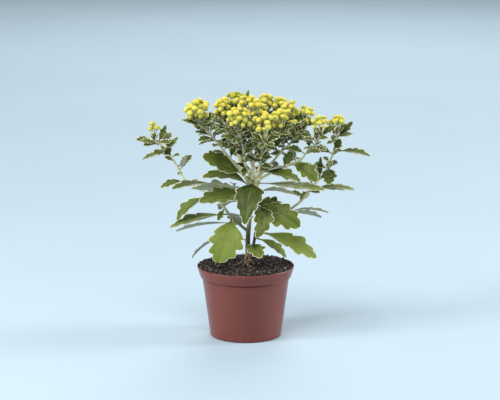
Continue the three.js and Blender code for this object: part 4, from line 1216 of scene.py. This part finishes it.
def bent_blade(model, leaf, thickness):
    """A copy of a flat blade, cut to its outline and bent to its place on the plant."""
    blade = copy_of(model)
    rib, edge_s, edge_h, tips = blade_stations(leaf.form, model["steps"])
    places = vertex_places(blade)
    station = places[:, 0].astype(int)
    row = np.sign(places[:, 1]) * (1 - (1 - np.abs(places[:, 1])) ** 1.5)
    s = rib[station] + (edge_s[station] - rib[station]) * np.abs(row)
    h = edge_h[station] * row
    length, along, face, side = blade_frame(leaf)
    half = leaf.width / 2
    outline = np.stack([edge_s * length, edge_h * half], axis=1)
    fine = np.concatenate([outline[:-1] + (outline[1:] - outline[:-1]) * share for share in (0, 0.33, 0.66)])
    flat = np.stack([s * length, np.abs(h) * half], axis=1)
    gaps = np.linalg.norm(flat[:, None, :] - fine[None, :, :], axis=2).min(axis=1)
    on_vein = np.isin(station, tips) & (np.abs(row) < 0.93)
    vein = np.where((places[:, 1] == 0) | on_vein, 1.0, 0.0)
    sunk = vein * (1 - s) + 0.25
    petiole = np.clip(1 - s / PETIOLE_SHARE, 0, 1)
    grown = thickness / 2 * (1 + PETIOLE_SWELL * petiole)
    puff = PUFF * (1 - vein) * np.clip(gaps / 3, 0, 1)
    lift = np.where(places[:, 2] > 0.5, grown, -grown) + puff - VEIN_SINK * sunk
    fold = 0.1 + 0.18 * chance(leaf.number, 1)
    wave = half * (0.03 + 0.05 * chance(leaf.number, 2))
    twist = (chance(leaf.number, 4) - 0.5) * 0.5 * s
    hump = 4 * s * (1 - s)
    slope = leaf.arch * 4 * (1 - 2 * s) / length
    normal = face[None, :] - along[None, :] * slope[:, None]
    normal /= np.linalg.norm(normal, axis=1)[:, None]
    turn_c = np.cos(twist)[:, None]
    turn_s = np.sin(twist)[:, None]
    sideways = side[None, :] * turn_c + normal * turn_s
    out = normal * turn_c - side[None, :] * turn_s
    reach = np.sign(h) * np.maximum(np.abs(h) * half, np.minimum(np.abs(h) * 100, PETIOLE_HALF))
    sway = np.sin(2 * np.pi * (1.6 * s + chance(leaf.number, 3)) + h)
    curl = half * 0.1 * (chance(leaf.number, 7) - 0.65) * h ** 4
    rise = fold * np.abs(reach) + wave * h * h * sway + curl
    spots = leaf.base + along * (length * s)[:, None] + face * (leaf.arch * hump)[:, None]
    spots += side * (leaf.bow * hump)[:, None] + sideways * reach[:, None] + out * (rise + lift)[:, None]
    set_places(blade, spots * MM)
    notes = {
        "edge_mm": gaps * max(1, MARGIN_WIDTH / leaf.width),
        "vein": vein,
        # Darker towards the stalk and paler towards the tip: partly the leaf's own colour, partly painted
        # shade
        "tone": leaf_tone(leaf) + PALER_TIP * (s - 0.45),
    }
    for name, values in notes.items():
        blade.data.attributes[name].data.foreach_set("value", values)
    corners = np.empty(len(blade.data.loops), dtype=int)
    blade.data.loops.foreach_get("vertex_index", corners)
    chart = np.stack([s * length, h * half + leaf.number * CHART_ROOM], axis=1)[corners]
    blade.data.uv_layers["blade"].data.foreach_set("uv", chart.ravel())
    return blade


def filler_leaves(shoot, first):
    """The small leaves up the stalks of a shoot, and the bracts under its heads."""
    leaves = []
    for stalk in shoot.stalks:
        for bunch in stalk.bunches:
            count = FEWEST_FILLERS + int(bunch.heads * FILLERS_A_HEAD)
            for k in range(count):
                number = first + len(leaves)
                place = (len(stalk.route) - 1) * (0.36 + 0.64 * ((k + 0.5) / count) ** 0.55)
                base = curve_point(stalk.route, place)
                turn = number * GOLDEN_ANGLE
                rise = 0.1 + 0.5 * chance(number, 9) + 0.35 * math.sin(turn)
                outward = unit(np.array([math.cos(turn), math.sin(turn), rise]))
                length = SHORT_FILLER + FILLER_GROWTH * chance(number, 8)
                leaves.append(small_leaf(base, base + outward * length, number))
            leaves += bracts(bunch, first + len(leaves))
    return leaves


def bracts(bunch, first):
    """Tiny leaves that spread out close under the heads of a bunch."""
    leaves = []
    for number in range(first, first + FEWEST_BRACTS + bunch.heads // HEADS_A_BRACT):
        x, y = across(bunch, number * GOLDEN_ANGLE, 0.9 + 0.3 * chance(number, 8))
        z = bunch.slope * x - 0.4 * bunch.dome - 4 - 5 * chance(number, 9)
        leaves.append(small_leaf(core_foot(bunch), bunch.at + np.array([x, y, z]), number))
    return leaves


def small_leaf(base, tip, number):
    length = np.linalg.norm(tip - base)
    width = length * (0.42 + 0.2 * chance(number, 10))
    lean = [0.5 * (chance(number, 11) - 0.5), -0.7]
    form = "narrow" if length > NARROW_FROM else "small"
    return Leaf(None, None, tip, width, 1.5, lean, form, base=base, number=number)


def leaf_tone(leaf):
    """How pale a leaf is: palest when old and low, paler far out, darker higher up: partly young, partly
    painted shade.
    """
    rise = min(max((leaf.tip[2] - LOW_LEAF) / PALE_BAND, 0), 1)
    reach = min(abs(leaf.tip[0]) / RIM_RADIUS, 1)
    height = min(max((leaf.tip[2] - CROWN_LEAF) / PALE_BAND, 0), 1)
    spread = 0.34 * (chance(leaf.number, 13) - 0.5)
    return 0.68 * (1 - rise) + 0.28 * reach * (1 - height) + 0.14 * height + spread


class PLANT_OT_leaves(bpy.types.Operator):
    """Grows the lobed, silver-edged leaves of every shoot."""
    bl_idname = "plant.leaves"
    bl_label = "Make the leaves"

    def execute(self, context):
        settings = context.scene.plant_leaves
        thick = settings.thickness / MM
        thin = 0.6 * settings.thickness / MM
        models = {form: flat_blade(form, settings.rows, LEAF_STEPS) for form in LEAF_FORMS}
        little = {form: flat_blade(form, 1, SMALL_LEAF_STEPS) for form in ("narrow", "small")}
        upper = leaf_upper(settings.young, settings.old, settings.silver, settings.margin / MM)
        under = leaf_under(settings.felt)
        for model in [*models.values(), *little.values()]:
            painted(model, upper, under)
        for number, shoot in enumerate(grown_shoots()):
            filler = filler_leaves(shoot, FIRST_FILLER + number * FILLER_ROOM)
            blades = [bent_blade(models[leaf.form], leaf, thick) for leaf in shoot.leaves]
            blades += [bent_blade(little[leaf.form], leaf, thin) for leaf in filler]
            leaves = joined(blades, shoot.name + "_leaves")
            smooth(leaves, 50)
            hand_over(leaves, "leafy_shoots", shoot.name + "_shoot")
        discard(*models.values(), *little.values())
        return {"FINISHED"}


# Stems

class PLANT_OT_stems(bpy.types.Operator):
    """Makes the stalks of every shoot, forking under each bunch to one thin stalk a head."""
    bl_idname = "plant.stems"
    bl_label = "Make the stems"

    def execute(self, context):
        long_rod = rod_model(10, 40)
        thin_rod = rod_model(6, 8)
        stem = downy_stem()
        painted(long_rod, stem, mottled("pale_cut_wood", "#e6dcae", "#f5f0d2", 2, 0.8))
        painted(thin_rod, stem)
        shoots = grown_shoots()
        places = all_heads(shoots, context.scene.plant_heads.fullness)
        for shoot in shoots:
            parts = []
            for number, stalk in enumerate(shoot.stalks):
                radii = [radius * STALK_GIRTH for radius in stalk.radii]
                parts.append(bent_rod(long_rod, stalk.route, radii, 0.06))
                if shoot.name == "leader" and number == CUT_STALK:
                    choose_material(parts[-1], 1, lambda face: face.center.z > CUT_FROM * MM)
                for bunch in stalk.bunches:
                    parts += head_stalks(thin_rod, bunch, places[bunch.name])
            stems = joined(parts, shoot.name + "_stems")
            smooth(stems, 50)
            hand_over(stems, "leafy_shoots", shoot.name + "_shoot")
        discard(long_rod, thin_rod)
        return {"FINISHED"}


def head_stalks(model, bunch, heads):
    """The thin stalks of a bunch's heads, which part one after another from its stem."""
    stalks = []
    foot = core_foot(bunch)
    top = core_top(bunch)
    for i, head in enumerate(heads):
        start = foot + (top - foot) * 0.45 * head_chance(bunch, i, 14)
        middle = start * 0.35 + head["spot"] * 0.65 - np.array([0, 0, 3.5])
        end = head["spot"] - head["axis"] * head["size"] * HEAD_UNDER
        stalks.append(bent_rod(model, [start, middle, end], HEAD_STALK_RADII))
    return stalks


# Button heads

def floret_model():
    """A tube floret: a five-sided cup with a sunken mouth."""
    floret = primitive("floret_model", bpy.ops.mesh.primitive_cone_add, vertices=5, radius1=0.09,
                       radius2=0.135, depth=0.3, location=(0, 0, 0))
    edit_chosen("FACE", floret.data.polygons, lambda face: face.normal.z > 0.9)
    bpy.ops.mesh.inset(thickness=0.045, depth=-0.05)
    bpy.ops.object.mode_set(mode="OBJECT")
    choose_material(floret, 2, lambda face: face.select)
    return floret


def button_model(count):
    """One head of unit radius: a green cup under a dome that is packed with tube florets."""
    cup = primitive("cup_model", bpy.ops.mesh.primitive_uv_sphere_add, segments=14, ring_count=9,
                    radius=CUP_SHARE)
    places = vertex_places(cup)
    places[:, 2] = np.where(places[:, 2] > 0, places[:, 2] * 0.84, places[:, 2] * 0.8)
    set_places(cup, places)
    choose_material(cup, 1, lambda face: face.center.z < -0.05)
    floret = floret_model()
    parts = [cup]
    for i in range(count):
        turn = i * GOLDEN_ANGLE
        drop = 1 - (i + 0.5) / count * 1.12
        flat = math.sqrt(1 - drop * drop)
        normal = Vector((flat * math.cos(turn), flat * math.sin(turn), drop))
        spot = Vector((normal.x * CUP_SHARE, normal.y * CUP_SHARE, normal.z * 0.72))
        part = copy_of(floret)
        up = Vector((normal.x, normal.y, normal.z * 1.15)).normalized()
        part.data.transform(Matrix.Translation(spot) @ tilted(up))
        parts.append(part)
    head = joined(parts, "button_model")
    discard(floret)
    return crowned(head)


def bud_model():
    """An unopened bud of unit radius: a ribbed green cup that closes over its yellow top."""
    bud = primitive("bud_model", bpy.ops.mesh.primitive_uv_sphere_add, segments=12, ring_count=8, radius=1)
    places = vertex_places(bud)
    turn = np.arctan2(places[:, 1], places[:, 0])
    places[:, :2] *= (1 - 0.07 * np.cos(6 * turn) * (places[:, 2] < 0.6))[:, None]
    set_places(bud, places)
    choose_material(bud, 1, lambda face: face.center.z < 0.35)
    return crowned(bud)


def crowned(head):
    """Notes on each point of a head how near it is to the crown, from 0 at the rim to 1."""
    head.data.attributes.new("crown", "FLOAT", "POINT")
    crown = np.clip(vertex_places(head)[:, 2] / 0.85, 0, 1)
    head.data.attributes["crown"].data.foreach_set("value", crown)
    return head


def placed_head(model, head, spin, skin):
    """A copy of a head model at its place, turned to its axis."""
    button = copy_of(model)
    turned = Matrix.Translation(Vector(head["spot"])) @ tilted(head["axis"]) @ Matrix.Rotation(spin, 4, "Z")
    button.data.transform(Matrix.Scale(MM, 4) @ turned @ Matrix.Scale(head["size"], 4))
    painted(button, *skin)
    return button


class PLANT_OT_heads(bpy.types.Operator):
    """Fills every bunch with its button heads."""
    bl_idname = "plant.heads"
    bl_label = "Make the button heads"

    def execute(self, context):
        settings = context.scene.plant_heads
        button = button_model(settings.florets)
        bud = bud_model()
        # The first colour of each is the darker green rim, painted shade under the heads
        ripe = florets("ripe_florets", "#cdcb57", settings.yellow, "#f4e35a")
        young = florets("young_florets", "#8fa23c", settings.young, "#dccb3a")
        cup = mottled("silver_green_cup", "#76874f", "#a9b57f", 1.5, 0.8)
        mouth = mottled("floret_mouths", "#dfd455", "#ece468", 3, 0.7)
        shoots = grown_shoots()
        places = all_heads(shoots, settings.fullness)
        for bunch in [bunch for shoot in shoots for bunch in shoot.bunches]:
            opened = bunch.name != "top"
            skin = [ripe, cup, mouth] if opened else [young, cup, young]
            heads = [placed_head(button, head, i * 2.1, skin) for i, head in enumerate(places[bunch.name])]
            for i, head in enumerate(side_buds(bunch, settings.bud)):
                heads.append(placed_head(bud, head, i * 1.3, [young, cup]))
            whole = joined(heads, bunch.name + "_buttons")
            smooth(whole, 35)
            slot = "flower_heads" if opened else "young_flower_heads"
            hand_over(whole, slot, bunch.name + "_flowers")
        discard(button, bud)
        return {"FINISHED"}


# Stage

class PLANT_OT_stage(bpy.types.Operator):
    """Sets the pale floor, the soft lights and the camera."""
    bl_idname = "plant.stage"
    bl_label = "Set the stage"

    def execute(self, context):
        floor = primitive("floor", bpy.ops.mesh.primitive_plane_add, size=40, location=(0, 0, 0))
        painted(floor, mottled("pale_floor", "#afc4d0", "#b4c8d4", 500, 0.9))
        add_camera()
        add_light("key", (-2.2, -1.0, 1.3), 0.9, 52)
        add_light("top", (-0.3, -1.2, 2.3), 1.0, 30)
        add_light("side", (2.3, 0.2, 0.8), 0.8, 40)
        add_light("back", (0.4, 3.2, 2.6), 2.5, 80)
        world = bpy.data.worlds.new("studio_air")
        world.use_nodes = True
        sky = world.node_tree.nodes["Background"]
        sky.inputs["Color"].default_value = linear("#e8eef3")
        sky.inputs["Strength"].default_value = 0.4
        context.scene.world = world
        context.scene.view_settings.view_transform = "Standard"
        return {"FINISHED"}


def add_camera():
    """The photo's camera: 2.4 m off, looking 11.5 degrees down at the middle of the plant."""
    distance = 2.4
    pitch = math.radians(11.5)
    target = Vector((5.3 * MM, 0, 170 * MM))
    camera = bpy.data.cameras.new("camera")
    camera.lens = 140.8
    camera.sensor_width = 36
    camera.clip_end = 100
    holder = bpy.data.objects.new("camera", camera)
    holder.location = target + Vector((0, -distance * math.cos(pitch), distance * math.sin(pitch)))
    holder.rotation_euler = (math.pi / 2 - pitch, 0, 0)
    bpy.context.collection.objects.link(holder)
    bpy.context.scene.camera = holder


def add_light(name, place, size, power):
    """A square soft light that faces the plant."""
    light = bpy.data.lights.new(name, "AREA")
    light.size = size
    light.energy = power
    holder = bpy.data.objects.new(name, light)
    holder.location = place
    aim = Vector((0, 0, 150 * MM)) - holder.location
    holder.rotation_euler = aim.to_track_quat("-Z", "Y").to_euler()
    bpy.context.collection.objects.link(holder)


OPERATORS = [PLANT_OT_stage, PLANT_OT_pot, PLANT_OT_soil, PLANT_OT_foot, PLANT_OT_leaves, PLANT_OT_stems,
             PLANT_OT_heads]
SETTINGS = {"plant_pot": PotSettings, "plant_soil": SoilSettings, "plant_leaves": LeafSettings,
            "plant_heads": HeadSettings}


class PLANT_PT_panel(bpy.types.Panel):
    """Lists the steps that build the plant, with their settings."""
    bl_idname = "PLANT_PT_panel"
    bl_label = "Potted chrysanthemum"
    bl_space_type = "VIEW_3D"
    bl_region_type = "UI"
    bl_category = "Plant"

    def draw(self, context):
        for operator in OPERATORS:
            self.layout.operator(operator.bl_idname)
        for name, group in SETTINGS.items():
            settings = getattr(context.scene, name)
            for key in group.__annotations__:
                self.layout.prop(settings, key)


def register():
    for group in [*SETTINGS.values(), *OPERATORS, PLANT_PT_panel]:
        bpy.utils.register_class(group)
    for name, group in SETTINGS.items():
        setattr(bpy.types.Scene, name, PointerProperty(type=group))


def unregister():
    for name in SETTINGS:
        delattr(bpy.types.Scene, name)
    for group in reversed([*SETTINGS.values(), *OPERATORS, PLANT_PT_panel]):
        bpy.utils.unregister_class(group)


def main():
    register()
    for step in ("stage", "pot", "soil", "foot", "leaves", "stems", "heads"):
        getattr(bpy.ops.plant, step)()


if __name__ == "__main__":
    main()
